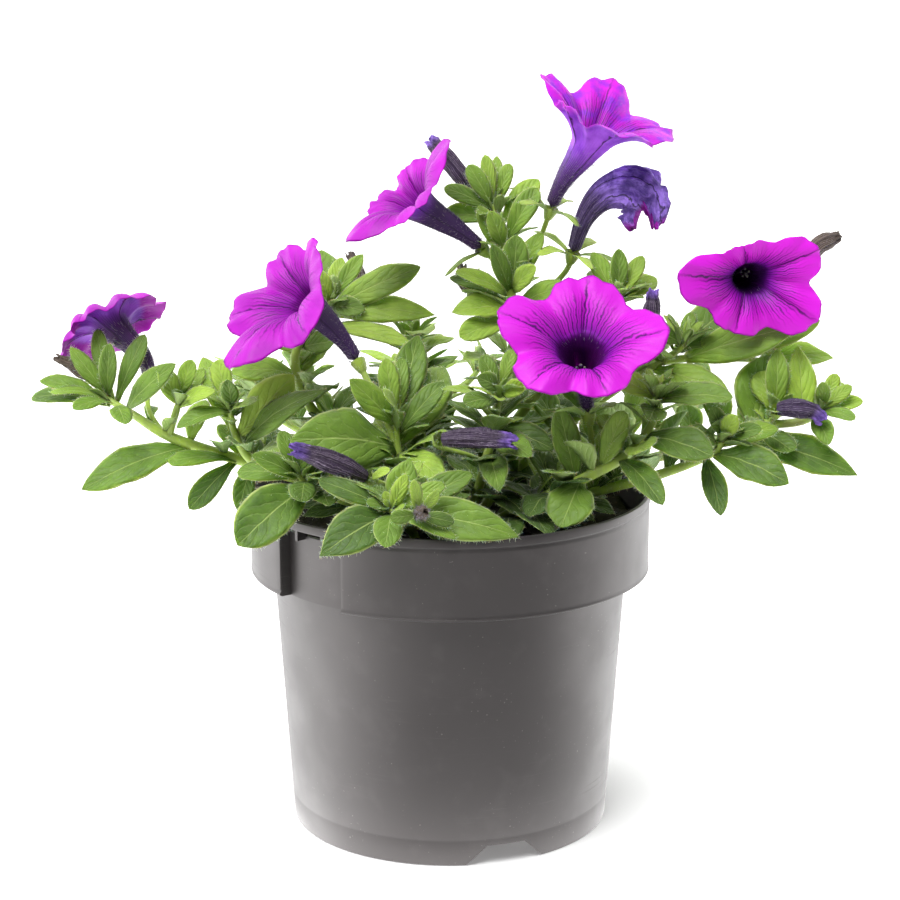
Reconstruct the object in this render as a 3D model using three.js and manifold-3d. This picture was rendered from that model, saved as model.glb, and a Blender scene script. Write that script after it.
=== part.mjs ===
// A petunia in a round nursery pot: pot, peat, leafy stems, open blooms and spent blooms.
// Millimetres, +Z up. The origin is the middle of the pot's underside, and -Y is the front.
// The plant is a planting list: stems, side shoots, flower stalks and the larger leaves stand
// where they grow, tip rosettes and the leaves along a stem follow a spiral, and a leaf that
// would meet its neighbour is bent clear of it.
import * as THREE from 'three';
import { mergeVertices } from 'three/addons/utils/BufferGeometryUtils.js';
import Module from 'manifold-3d';

const wasm = await Module();
wasm.setup();

// ---- Pot and peat ----
const POT_HEIGHT = 110;
const RIM_RADIUS = 65;
const COLLAR_BOTTOM = 84;
const COLLAR_SLOPE = 0.4;
const NECK_RADIUS = 57.3;
const FOOT_RADIUS = 51.6;
const WALL = 1.5;
const LIP_HEIGHT = 3;
const LIP_STEP = 0.35;
const LIP_EDGE = 0.6;
const COLLAR_EDGE = 0.5;
const FOOT_EDGE = 0.7;
const FLOOR_HEIGHT = 5.5;
const FOOT_RING_WIDTH = 1.7;
const CENTRE_FOOT_RADIUS = 14;
const DRAIN_HOLE_RADIUS = 4.5;
const DRAIN_HOLE_CIRCLE = 36;
const DRAIN_HOLES = 6;
const DRAIN_HOLE_SIDES = 8;
const NOTCHES = 3;
const NOTCH_TURN = -70;
const NOTCH_TOP = 12.5;
const NOTCH_BOTTOM = 26;
const NOTCH_HEIGHT = 6.5;
const NOTCH_DEPTH = 16;
const NOTCH_REACH = 4;
const RECESS_TURNS = [-133, 47];
const RECESS_WIDTH = 24;
const RECESS_RADIUS = 60.7;
const RECESS_TOP = 104.6;
const RECESS_WALL_TURN = 1.4;
const RIB_TURNS = [-5, 5];
const RIB_WIDTH = 1;
const STRAP_BOTTOM = 107.3;
const CUT_CLEAR = 1;
const JOIN = 0.5;
const POT_SIDES = 36;
const GAP = 0.35;
const PEAT_LEVEL = 98.6;
const PEAT_BUMP = 0.9;
const PEAT_RINGS = [46, 30, 15, 0];
const PEAT_SIDES = 20;
const PEAT_RECESS_TURN = 1.8;
const ROOT_CLEAR = 0.4;
const ROOT_DEPTH = 84;
const ROOT_STRAIGHT = 91;

// ---- Plant ----
const STEM_SIDES = 5;
const SHOOT_SIDES = 4;
const STALK_SIDES = 3;
const STALK_RADIUS = 1.1;
const LONG_ROUTE = 4;
const BLADE_THICK = 0.7;
const BLADE_GUARD = 0.45;
const BLADE_ARCH = 0.1;
const BLADE_FOLD = 0.22;
const BLADE_FOOT = 0.3;
const BROAD_LEAF = 10;
const SMALL_LEAF = 7.5;
const BLADE_ROWS = [[0.34, 0.88], [0.7, 0.98]];
const SMALL_ROWS = [[0.58, 1.1]];
const SEPALS = 5;
const SEPAL_WIDTH = 2.8;
const SEPAL_SUNK = 0.7;
const SEPAL_ROOT_SHARE = 0.4;
const CALYX_RADIUS = 2.3;
const CALYX_LENGTH = 4.5;
const SPIRAL = 137.5;
const ROSETTE_LIFT = 75;
const ROSETTE_UPRIGHT = 0.8;
const ROSETTE_SHORTEN = 0.45;
const ROSETTE_NARROW = 0.4;
const ROSETTE_DEPTH = 0.3;
const RUN_LEVEL = 0.5;
const RUN_LIFT = 0.35;
const ROOT_SHARE = 0.5;
const TIP_ROOT = 0.12;
const TRIM = 0.04;
const LOBE_STEPS = 4;
const NOTCH_SHARE = 0.26;
const NOTCH_SHARPNESS = 6;
const LIMB_SHARES = [0.5, 1];
const TUBE_RINGS = [[0, 1.9], [0.35, 2.5], [0.72, 4.2]];
const TUBE_BEND = 0.45;
const THROAT_BOTTOM = 0.62;
const SPENT_SIDES = 8;
const SPENT_CRUMPLE = 0.14;
const BENDS = [
  [0, 0, 1], [0, 12, 1], [0, -12, 1], [14, 0, 1], [-14, 0, 1], [14, 14, 1], [-14, 14, 1],
  [14, -14, 1], [-14, -14, 1], [0, 26, 1], [28, 0, 0.95], [-28, 0, 0.95], [26, 24, 0.95],
  [-26, 24, 0.95], [0, -26, 0.9], [0, 0, 0.75], [0, 16, 0.75], [18, 0, 0.75], [-18, 0, 0.75],
  [40, 10, 0.75], [-40, 10, 0.75], [0, 40, 0.7], [20, 30, 0.6], [-20, 30, 0.6],
];

// A main stem: label, node, radius, and its route from the peat to its tip.
const STEMS = [
  ['left', 'leafy_stem_left', 2, [[-15, -3, 101], [-38, -6, 113], [-64, -8, 120],
    [-88, -12, 129], [-101, -12, 137], [-110, -10, 142]]],
  ['left_mid', 'leafy_stem_left_mid', 1.8, [[-11, -12, 101], [-35, -17, 113], [-60, -17, 121],
    [-68, -17, 132], [-69, -16, 142]]],
  ['upper_left', 'leafy_stem_upper_left', 1.8, [[-10, 6, 101], [-24, 6, 118], [-44, 4, 134],
    [-50, 5, 152], [-42, 9, 164], [-37, 11, 171]]],
  ['centre_left', 'leafy_stem_centre_left', 1.9, [[-4, -14, 101], [-10, -23, 113],
    [-16, -24, 126], [-17, -22, 141]]],
  ['front', 'leafy_stem_front', 1.7, [[-2, -25, 101], [-10, -42, 111], [-16, -55, 116],
    [-18, -61, 118]]],
  ['top', 'leafy_stem_top', 2, [[3, 3, 101], [12, 3, 122], [18, 2, 145], [21, 0, 162],
    [19, 0, 176], [17, 3, 190], [13, 6, 204]]],
  ['centre', 'leafy_stem_centre', 1.7, [[6, -11, 101], [10, -20, 118], [14, -24, 136],
    [16, -24, 149]]],
  ['front_right', 'leafy_stem_front_right', 1.9, [[12, -18, 101], [30, -28, 114],
    [42, -32, 121], [56, -31, 129], [64, -28, 140], [64, -26, 148]]],
  ['right', 'leafy_stem_right', 1.8, [[17, -7, 101], [42, -15, 111], [66, -20, 119],
    [82, -25, 127], [86, -26, 134]]],
  ['far_right', 'leafy_stem_far_right', 1.9, [[18, 4, 101], [46, 0, 114], [74, -5, 123],
    [98, -9, 130], [105, -10, 139]]],
  ['right_back', 'leafy_stem_right_back', 1.9, [[12, 13, 101], [34, 14, 124], [56, 9, 142],
    [70, 3, 152], [76, 0, 158]]],
  ['centre_back', 'leafy_stem_centre_back', 1.8, [[3, 14, 101], [22, 12, 130], [40, 4, 154],
    [50, -4, 167], [54, -8, 174]]],
  ['left_low', 'leafy_stem_left_low', 1.7, [[-12, -22, 101], [-28, -29, 111], [-42, -34, 118],
    [-48, -36, 124]]],
  ['back_left', 'leafy_stem_back_left', 1.9, [[-15, 15, 101], [-34, 26, 115], [-56, 35, 124],
    [-70, 42, 134]]],
  ['back', 'leafy_stem_back', 1.8, [[-4, 23, 101], [-8, 42, 116], [-12, 60, 126],
    [-14, 70, 136]]],
  ['back_right', 'leafy_stem_back_right', 1.8, [[10, 24, 101], [26, 40, 115], [44, 52, 124],
    [56, 60, 134]]],
  ['back_top', 'leafy_stem_back_top', 1.7, [[-7, 14, 101], [-14, 24, 122], [-16, 28, 142],
    [-12, 30, 156]]],
  ['back_far', 'leafy_stem_back_far', 1.8, [[21, 13, 101], [46, 24, 113], [70, 32, 121],
    [86, 38, 131]]],
];

// A side shoot or flower stalk: label, what it grows from, where along that, radius, route.
const SHOOTS = [
  ['left_side', 'left', 3.1, 1.3, [[-87, -14, 137], [-85, -15, 143]]],
  ['left_stalk', 'left', 3.3, 0.9, [[-96, -9, 138], [-96, -5, 146]]],
  ['left_spent_stalk', 'left', 4.8, 0.8, [[-111, -8, 145], [-114, -8, 148]]],
  ['upper_left_spent_stalk', 'upper_left', 4.6, 0.8, [[-34, 15, 167], [-31, 18, 171]]],
  ['left_centre_stalk', 'centre_left', 1.9, 1.1, [[-20, -23, 137], [-26, -17, 149],
    [-29, -14, 154]]],
  ['front_left_spent_stalk', 'centre_left', 0.9, 0.9, [[-13, -34, 117], [-20, -44, 122],
    [-25, -49, 125]]],
  ['front_bud_stalk', 'front', 2.6, 0.9, [[-12, -63, 118], [-9, -68, 119]]],
  ['top_stalk', 'top', 3.9, 0.9, [[25, 4, 181], [29, 5, 191], [32, 4, 200]]],
  ['upper_left_centre_stalk', 'top', 4.3, 0.9, [[14, 1, 184], [10, -1, 188]]],
  ['wilted_stalk', 'top', 3.3, 1, [[30, 3, 173], [37, 4, 180], [39, 3, 186]]],
  ['top_spent_stalk', 'top', 5.4, 0.8, [[11, 7, 202], [7, 8, 205]]],
  ['shaded_spent_stalk', 'top', 3.4, 0.8, [[12, 10, 170], [7, 13, 172]]],
  ['centre_spent_stalk', 'centre', 1.3, 0.8, [[5, -30, 128], [-4, -36, 132], [-3, -40, 135]]],
  ['front_stalk', 'front_right', 2.1, 1, [[44, -28, 131], [43, -26, 140]]],
  ['right_stalk', 'right_back', 3.4, 0.9, [[82, 8, 157], [88, 20, 166], [91, 25, 172],
    [91, 20, 174]]],
  ['right_back_side', 'right_back', 2.9, 1.4, [[84, 4, 152], [103, 3, 151]]],
  ['right_back_spent_stalk', 'right_back_side', 1.9, 0.8, [[111, 7, 166], [114, 9, 181]]],
  ['far_right_tip', 'far_right', 3.3, 1.5, [[112, -10, 134], [119, -10, 139]]],
  ['far_right_spent_stalk', 'far_right', 3.7, 0.8, [[103, -14, 137], [103, -16, 139]]],
  ['behind_bud_stalk', 'centre_back', 2.9, 0.8, [[57, -12, 164], [62, -15, 166]]],
  ['back_left_side', 'back_left', 1.8, 1.3, [[-52, 46, 128], [-50, 52, 136]]],
  ['back_side', 'back', 1.9, 1.3, [[4, 62, 130], [12, 66, 138]]],
  ['back_right_side', 'back_right', 1.6, 1.3, [[50, 40, 130], [56, 36, 138]]],
];

// A leaf set by hand: shoot, where along it, the leaf's tip, its width, and how far its face
// turns from straight up (0) to straight towards the front (1).
const LEAVES = [
  ['left', 2.9, [-116, -22, 114], 13, 0.5],
  ['left', 4.3, [-86, -22, 155], 8, 0.8],
  ['left', 2.3, [-89, -21, 123], 7, 0.4],
  ['left', 2.3, [-83, -17, 107], 8, 0.8],
  ['left', 2.1, [-67, -20, 107], 7, 0.8],
  ['left', 2.2, [-75, 2, 130], 6, 0.4],
  ['left', 4.7, [-97, -4, 161], 7, 0.8],
  ['left', 5, [-113, 0, 161], 6, 0.9],
  ['left', 5, [-107, -14, 160], 6, 0.9],
  ['left', 5, [-120, -10, 158], 6, 0.8],
  ['left', 4.9, [-129, -14, 149], 6, 0.5],
  ['left', 4.8, [-134, -6, 142], 7, 0.5],
  ['left', 5, [-125, -21, 143], 6, 0.4],
  ['left', 4.8, [-117, -27, 142], 6, 0.4],
  ['left', 4.6, [-101, -27, 137], 7, 0.5],
  ['left_side', 1.8, [-78, -8, 151], 6, 0.8],
  ['left_side', 2, [-81, -16, 155], 6, 0.9],
  ['left_side', 1.8, [-91, -23, 152], 7, 0.6],
  ['left_side', 1.6, [-74, -22, 147], 6, 0.6],
  ['left_mid', 3.8, [-87, -24, 144], 8, 0.4],
  ['left_mid', 4, [-73, -16, 155], 7, 0.9],
  ['left_mid', 4, [-69, -26, 151], 6, 0.6],
  ['left_mid', 3.7, [-61, -30, 145], 7, 0.5],
  ['left_mid', 3.2, [-79, -2, 153], 10, 0.5],
  ['left_mid', 3, [-55, -20, 154], 13, 1],
  ['left_mid', 2.8, [-40, -28, 149], 11, 0.6],
  ['left_mid', 2.4, [-46, -32, 131], 10, 0.4],
  ['upper_left', 5, [-35, 14, 183], 6, 0.9],
  ['upper_left', 4.9, [-43, 6, 180], 6, 0.9],
  ['upper_left', 5, [-28, 13, 184], 6, 0.8],
  ['upper_left', 4.8, [-18, 10, 178], 8, 0.7],
  ['upper_left', 4.5, [-9, 5, 181], 11, 0.8],
  ['upper_left', 4.3, [-5, 0, 167], 10, 0.6],
  ['upper_left', 4.4, [-42, 24, 184], 14, 1],
  ['upper_left', 4.7, [-27, 0, 168], 7, 0.9],
  ['upper_left', 3.9, [-12, -7, 158], 7, 0.5],
  ['upper_left', 3.4, [-37, 1, 158], 8, 0.8],
  ['upper_left', 2.8, [-70, -1, 149], 10, 0.5],
  ['upper_left', 3.2, [-62, 18, 160], 10, 0.5],
  ['centre_left', 2.8, [-31, -31, 152], 9, 0.8],
  ['centre_left', 3, [-20, -23, 157], 7, 0.9],
  ['centre_left', 3, [-15, -16, 156], 6, 0.9],
  ['centre_left', 2.9, [-9, -13, 153], 8, 0.8],
  ['centre_left', 2.8, [-8, -2, 158], 11, 0.9],
  ['centre_left', 2.6, [-2, -20, 149], 8, 0.7],
  ['centre_left', 2.3, [-47, -44, 137], 20, 0.7],
  ['centre_left', 2.4, [1, -6, 157], 14, 1],
  ['centre_left', 2.2, [-2, -45, 123], 11, 0.5],
  ['centre_left', 2.7, [-24, -38, 146], 8, 0.5],
  ['front', 2.7, [-38, -75, 109], 15, 0.7],
  ['front', 2.6, [-12, -55, 133], 10, 1],
  ['front', 3, [-13, -64, 130], 5, 0.9],
  ['front', 2.9, [-2, -64, 127], 6, 0.8],
  ['front', 3, [0, -73, 117], 6, 0.6],
  ['front', 2.3, [21, -63, 119], 13, 0.7],
  ['front', 2, [7, -49, 127], 9, 0.8],
  ['front', 3, [-19, -78, 111], 9, 0.7],
  ['front', 2.5, [-35, -55, 129], 7, 0.8],
  ['front', 2.6, [-41, -58, 122], 7, 0.7],
  ['top', 4, [21, -8, 193], 9, 1],
  ['top', 4, [13, -12, 191], 6, 0.9],
  ['top', 3.9, [2, -8, 182], 7, 0.6],
  ['top', 3.8, [0, 2, 179], 7, 0.6],
  ['top', 3.6, [1, -10, 170], 10, 0.6],
  ['top', 3.3, [3, -14, 162], 9, 0.6],
  ['top', 4, [26, -11, 187], 7, 0.8],
  ['top', 4.1, [32, -5, 191], 7, 0.7],
  ['top', 3.6, [37, -8, 178], 8, 0.6],
  ['top', 3.2, [42, 8, 172], 9, 0.6],
  ['top', 4.7, [5, 0, 199], 6, 0.8],
  ['top', 4.9, [13, -6, 200], 6, 0.9],
  ['top', 6, [11, 6, 217], 5, 0.9],
  ['top', 6, [15, 11, 216], 5, 0.9],
  ['top', 5.9, [6, 3, 214], 6, 0.9],
  ['top', 5.8, [0, 3, 210], 6, 0.7],
  ['top', 5.6, [0, -1, 203], 7, 0.7],
  ['top', 5.9, [19, 8, 214], 5, 0.9],
  ['top', 5.1, [31, 0, 204], 8, 0.8],
  ['top', 5.5, [27, 11, 209], 8, 0.7],
  ['centre', 3, [10, -23, 158], 6, 0.9],
  ['centre', 3, [17, -21, 160], 5, 0.9],
  ['centre', 3, [9, -32, 153], 6, 0.8],
  ['centre', 2.7, [5, -35, 146], 8, 0.6],
  ['centre', 2.9, [24, -31, 150], 6, 0.8],
  ['centre', 1.9, [25, -44, 130], 10, 0.6],
  ['centre', 1.6, [15, -50, 121], 9, 0.7],
  ['centre', 2.1, [33, -32, 134], 9, 0.6],
  ['front_right', 2, [34, -50, 111], 15, 0.8],
  ['front_right', 1.9, [34, -29, 143], 9, 1],
  ['front_right', 2.5, [53, -38, 143], 8, 0.9],
  ['front_right', 4.7, [87, -34, 147], 11, 0.5],
  ['front_right', 4.8, [51, -28, 153], 8, 0.8],
  ['front_right', 3.6, [80, -44, 131], 14, 0.6],
  ['front_right', 3.2, [60, -48, 130], 11, 0.6],
  ['front_right', 2.9, [64, -56, 119], 9, 0.6],
  ['front_right', 4.4, [61, -41, 142], 9, 0.7],
  ['right', 3.2, [104, -40, 122], 13, 0.6],
  ['right', 3, [83, -44, 112], 8, 0.7],
  ['right', 3.6, [103, -22, 135], 9, 0.6],
  ['right', 4, [81, -30, 143], 6, 0.8],
  ['right', 4, [88, -36, 142], 6, 0.8],
  ['right', 3.9, [96, -33, 137], 6, 0.7],
  ['right', 3.6, [74, -34, 136], 8, 0.6],
  ['far_right', 3.1, [103, 2, 154], 20, 1],
  ['far_right', 4, [104, -7, 157], 8, 1],
  ['far_right', 3.9, [97, -2, 147], 9, 0.9],
  ['far_right', 2.9, [129, -18, 118], 13, 0.6],
  ['far_right', 3.2, [108, -22, 127], 8, 0.7],
  ['far_right_tip', 1.2, [111, -2, 157], 10, 1],
  ['far_right_tip', 2, [123, -8, 149], 5, 0.9],
  ['far_right_tip', 2, [127, -12, 146], 5, 0.8],
  ['far_right_tip', 2, [131, -11, 141], 6, 0.6],
  ['far_right_tip', 1.9, [129, -17, 137], 6, 0.5],
  ['far_right_tip', 2, [117, -17, 148], 5, 0.8],
  ['far_right_tip', 1.6, [119, -22, 130], 7, 0.6],
  ['far_right_tip', 1.8, [127, 2, 145], 7, 0.6],
  ['right_back', 3.6, [92, 8, 169], 14, 0.8],
  ['right_back', 2.8, [88, -14, 143], 11, 0.7],
  ['right_back', 3.9, [60, -4, 164], 8, 0.7],
  ['right_back', 3.2, [66, -12, 160], 8, 0.7],
  ['right_back_side', 0.6, [112, -8, 157], 14, 0.9],
  ['right_back_side', 1.5, [118, 0, 165], 9, 0.8],
  ['right_back_side', 2, [124, 6, 152], 10, 0.6],
  ['centre_back', 3.8, [45, -2, 187], 7, 0.8],
  ['centre_back', 4, [53, -2, 188], 6, 0.9],
  ['centre_back', 4, [61, -3, 186], 6, 0.8],
  ['centre_back', 3.6, [66, 4, 178], 8, 0.5],
  ['left_low', 2.4, [-64, -59, 107], 17, 0.7],
  ['left_low', 3, [-52, -37, 137], 6, 0.8],
  ['left_low', 2.9, [-60, -43, 131], 7, 0.7],
  ['left_low', 2.6, [-45, -52, 119], 9, 0.6],
  ['left_low', 3, [-44, -42, 134], 6, 0.7],
  ['left_low', 2.8, [-66, -34, 124], 8, 0.6],
  ['left_low', 2, [-37, -50, 121], 9, 0.6],
];

// A rosette at a shoot's tip: shoot, number of leaves, first turn, length, width, lift.
const ROSETTES = [
  ['left_side', 2, 20, 10, 4.5, 40],
  ['left_mid', 2, 100, 11, 5, 35],
  ['upper_left', 2, 30, 13, 6, 35],
  ['front', 3, 200, 10, 5, 30],
  ['top', 2, 80, 11, 5, 30],
  ['centre', 3, 10, 11, 5, 30],
  ['front_right', 5, 50, 13, 6, 30],
  ['right', 3, 60, 11, 5.5, 30],
  ['far_right', 3, 0, 12, 6, 30],
  ['far_right_tip', 2, 90, 10, 5, 30],
  ['right_back', 6, 10, 15, 6.5, 30],
  ['centre_back', 4, 140, 12, 6, 30],
  ['left_low', 2, 90, 11, 6, 30],
  ['back_left', 6, 0, 18, 7, 20],
  ['back_left_side', 4, 60, 15, 6, 25],
  ['back', 5, 20, 18, 7, 20],
  ['back_side', 4, 0, 15, 6, 25],
  ['back_right', 5, 40, 18, 7, 20],
  ['back_right_side', 4, 80, 15, 6, 25],
  ['back_top', 6, 10, 17, 7, 25],
  ['back_far', 5, 70, 18, 7, 20],
];

// Leaves up a stem in a spiral: shoot, from, to, number, first turn, length, width.
const RUNS = [
  ['left', 0.7, 2, 2, 70, 19, 9],
  ['left_mid', 0.8, 2, 2, 200, 18, 9],
  ['upper_left', 0.8, 3, 4, 120, 22, 11],
  ['centre_left', 0.7, 1.8, 2, 160, 18, 9],
  ['top', 1.2, 3.2, 5, 40, 22, 11],
  ['centre', 0.8, 2.2, 2, 100, 18, 9],
  ['front_right', 0.7, 2.6, 3, 30, 20, 9],
  ['right', 0.8, 2.8, 3, 80, 20, 9],
  ['far_right', 0.8, 2.8, 4, 10, 22, 11],
  ['right_back', 0.8, 2.8, 4, 60, 22, 11],
  ['centre_back', 0.8, 3, 4, 0, 21, 9],
  ['back_left', 0.5, 2.7, 5, 130, 24, 13],
  ['back', 0.5, 2.7, 5, 10, 24, 13],
  ['back_right', 0.5, 2.7, 5, 50, 24, 13],
  ['back_top', 0.7, 2.7, 5, 90, 22, 12],
  ['back_far', 0.5, 2.7, 5, 0, 24, 13],
];

// An open bloom: name, stalk, throat, facing, throat radius, and five lobes, each the turn
// of its midrib, its length from the throat, and the angles away from the bloom's axis at
// which it leaves the throat and ends. Past 90 it rolls back.
const BLOOMS = [
  ['bloom_top', 'top_stalk', [43.5, -1, 220], [0.33, -0.1, 0.94], 5,
    [[20, 25, 20, 100], [84, 25, 20, 60], [155, 24, 20, 80], [215, 15, 20, 60],
      [288, 24, 25, 95]]],
  ['bloom_upper_left', 'upper_left_centre_stalk', [-9, -6, 201.5], [-0.66, -0.25, 0.7], 4.4,
    [[352, 23, 20, 95], [85, 13, 15, 75], [148, 14, 15, 80], [212, 25, 15, 105],
      [285, 15, 15, 110]]],
  ['bloom_left', 'left_centre_stalk', [-44, -18, 173], [-0.72, -0.42, 0.55], 4.6,
    [[12, 20, 20, 75], [100, 17, 20, 80], [176, 23, 20, 85], [241, 33, 20, 95],
      [292, 26, 20, 122]]],
  ['bloom_front', 'front_stalk', [40, -40, 161], [0.02, -0.54, 0.84], 6.2,
    [[85, 21, 30, 85], [165, 24, 30, 90], [228, 22, 30, 120], [288, 17, 30, 125],
      [358, 23, 30, 88]]],
  ['bloom_right', 'right_stalk', [94, -8, 180], [0.12, -0.97, -0.1], 4.4,
    [[108, 12, 20, 75], [28, 20, 40, 90], [328, 21.5, 40, 90], [251, 14.5, 35, 90],
      [170, 23, 40, 90]]],
  ['bloom_far_left', 'left_stalk', [-108, 1, 162], [-0.4, 0.62, 0.68], 4.4,
    [[37, 18, 40, 100], [95, 19, 40, 110], [174, 17, 40, 160], [236, 17, 40, 165],
      [300, 17, 40, 160]]],
];

// A spent bloom or bud: name, stalk, thickness along it, and its route from the calyx.
const SPENT = [
  ['bloom_wilted', 'wilted_stalk', [2, 3, 4.6, 5.8, 6.4, 5.4], [[43, 1, 198], [49, 1, 205],
    [57, 0, 207], [62, -1, 202], [63, -2, 194]]],
  ['spent_bloom_front_left', 'front_left_spent_stalk', [2, 3.4, 3.6, 2.6], [[-33, -53, 130],
    [-41, -56, 134], [-48, -58, 137]]],
  ['spent_bloom_centre', 'centre_spent_stalk', [2, 3, 3.2, 2.4], [[5, -42, 136],
    [13, -43, 136], [21, -43, 135]]],
  ['spent_bloom_upper_left', 'upper_left_spent_stalk', [2, 2.8, 2.6, 1.8], [[-30, 19, 177],
    [-33, 20, 184]]],
  ['spent_bloom_top', 'top_spent_stalk', [2, 3, 2.8, 1.8], [[2, 8, 212], [-4, 8, 219],
    [-7, 8, 222]]],
  ['spent_bloom_shaded', 'shaded_spent_stalk', [1.8, 2.3, 2, 1.4], [[4, 14, 176],
    [4, 14, 181]]],
  ['spent_bloom_far_right', 'far_right_spent_stalk', [2, 3, 3.4, 2.6], [[108, -18, 140],
    [114, -18, 139], [118, -19, 136]]],
  ['spent_bloom_right', 'right_back_spent_stalk', [2, 2.8, 2.8, 1.8], [[118, 10, 187],
    [123, 12, 189], [126, 13, 190]]],
  ['spent_bloom_far_left', 'left_spent_stalk', [2, 3, 2.8, 1.8], [[-119, -9, 152],
    [-125, -11, 155]]],
  ['bud_behind', 'behind_bud_stalk', [1.9, 2.9, 3, 2.2], [[63, -17, 172], [63, -18, 178]]],
  ['bud_front', 'front_bud_stalk', [1.7, 2.2, 1.8, 1.2], [[-8, -73, 121], [-7, -77, 122]]],
];

// A calyx: stalk, sepal length, how far the sepals open from the stalk's line, first turn.
const CALYXES = [
  ['top_stalk', 15, 58, 10], ['upper_left_centre_stalk', 13, 52, 30],
  ['left_centre_stalk', 15, 42, 0], ['front_stalk', 12, 62, 20], ['right_stalk', 13, 55, 40],
  ['left_stalk', 13, 50, 60], ['wilted_stalk', 14, 56, 15], ['front_left_spent_stalk', 12, 44, 0],
  ['centre_spent_stalk', 11, 46, 30], ['upper_left_spent_stalk', 10, 36, 0],
  ['top_spent_stalk', 10, 38, 50], ['shaded_spent_stalk', 9, 40, 20],
  ['far_right_spent_stalk', 11, 44, 10], ['right_back_spent_stalk', 10, 40, 0],
  ['left_spent_stalk', 11, 42, 30], ['behind_bud_stalk', 11, 38, 0],
  ['front_bud_stalk', 9, 46, 40],
];

const GREEN = new THREE.MeshStandardMaterial({ color: '#6f9a3c', roughness: 0.6 });
const PURPLE = new THREE.MeshStandardMaterial({ color: '#c22fd6', roughness: 0.55 });
const DARK_PURPLE = new THREE.MeshStandardMaterial({ color: '#4a3a63', roughness: 0.75 });
const PLASTIC = new THREE.MeshStandardMaterial({ color: '#716d6b', roughness: 0.5 });
const PEAT = new THREE.MeshStandardMaterial({ color: '#1d1612', roughness: 0.95 });

const UP = new THREE.Vector3(0, 0, 1);
const radians = THREE.MathUtils.degToRad;
const vector = (xyz) => new THREE.Vector3(...xyz);

// ---- Solids ----
function toSolid(geometry) {
  const bare = geometry.index ? geometry.clone() : geometry;
  bare.deleteAttribute('normal');
  bare.deleteAttribute('uv');
  const merged = mergeVertices(bare, 1e-4);
  return new wasm.Manifold(new wasm.Mesh({
    numProp: 3,
    vertProperties: new Float32Array(merged.attributes.position.array),
    triVerts: new Uint32Array(merged.index.array),
  }));
}

function toMesh(name, solid, material) {
  const { vertProperties, triVerts } = solid.getMesh();
  const geometry = new THREE.BufferGeometry();
  geometry.setAttribute('position', new THREE.BufferAttribute(vertProperties, 3));
  geometry.setIndex(new THREE.BufferAttribute(triVerts, 1));
  geometry.computeVertexNormals();
  const mesh = new THREE.Mesh(geometry, material);
  mesh.name = name;
  return mesh;
}

function fuse(solids) {
  return solids.reduce((whole, solid) => whole.add(solid)).asOriginal().simplify(TRIM);
}

// A closed surface from points and triangles.
function closedSolid(points, triangles) {
  const geometry = new THREE.BufferGeometry().setFromPoints(points);
  geometry.setIndex(triangles.flat());
  return toSolid(geometry);
}

// A closed surface through rings of equal size, with a point at either end. Each band is
// split along one slant, so that the two faces of a thin wall are split alike.
function ringSolid(start, rings, end, slants) {
  const sides = rings[0].length;
  const points = [start, ...rings.flat(), end];
  const last = points.length - 1;
  const at = (ring, side) => 1 + ring * sides + (side % sides);
  const triangles = [];
  for (let i = 0; i < sides; i++) {
    triangles.push([0, at(0, i + 1), at(0, i)]);
    triangles.push([last, at(rings.length - 1, i), at(rings.length - 1, i + 1)]);
    for (let k = 0; k + 1 < rings.length; k++) {
      const [a, b, c, d] = [at(k, i), at(k, i + 1), at(k + 1, i + 1), at(k + 1, i)];
      triangles.push(...(slants[k] ? [[a, b, d], [b, c, d]] : [[a, b, c], [a, c, d]]));
    }
  }
  return closedSolid(points, triangles);
}

// A lathe turned about +Z from a closed profile of [radius, height].
function turned(profile, sides) {
  const points = profile.map(([radius, height]) => new THREE.Vector2(radius, height));
  const lathe = new THREE.LatheGeometry(points, sides);
  lathe.rotateX(Math.PI / 2);
  return toSolid(lathe);
}

// A slice of a ring about +Z, between two radii, two turns in degrees and two heights.
function ringSlice(inner, outer, middle, width, bottom, top) {
  const [from, to] = [radians(middle - width / 2), radians(middle + width / 2)];
  const shape = new THREE.Shape();
  shape.absarc(0, 0, outer, from, to, false);
  shape.absarc(0, 0, inner, to, from, true);
  const slice = new THREE.ExtrudeGeometry(shape, {
    depth: top - bottom, bevelEnabled: false, curveSegments: 3,
  });
  slice.translate(0, 0, bottom);
  return toSolid(slice);
}

// ---- Pot ----
function potOutside() {
  const lipBottom = POT_HEIGHT - LIP_HEIGHT;
  const collar = RIM_RADIUS - COLLAR_SLOPE;
  return turned([
    [0, 0], [FOOT_RADIUS - FOOT_EDGE, 0], [FOOT_RADIUS, FOOT_EDGE],
    [NECK_RADIUS, COLLAR_BOTTOM],
    [collar - COLLAR_EDGE, COLLAR_BOTTOM], [collar, COLLAR_BOTTOM + COLLAR_EDGE],
    [RIM_RADIUS - LIP_STEP, lipBottom], [RIM_RADIUS, lipBottom + LIP_STEP],
    [RIM_RADIUS, POT_HEIGHT - LIP_EDGE], [RIM_RADIUS - LIP_EDGE, POT_HEIGHT],
    [0, POT_HEIGHT],
  ], POT_SIDES);
}

function wallRadius(height) {
  return FOOT_RADIUS + (NECK_RADIUS - FOOT_RADIUS) * height / COLLAR_BOTTOM;
}

function potCavity(clearance) {
  const floor = FLOOR_HEIGHT + WALL + clearance;
  const stepTop = COLLAR_BOTTOM + WALL + clearance;
  const inside = (height) => wallRadius(height) - WALL - clearance;
  const collar = RIM_RADIUS - WALL - clearance;
  return [
    [0, floor], [inside(floor), floor], [inside(stepTop), stepTop],
    [collar - COLLAR_SLOPE, stepTop],
  ];
}

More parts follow.
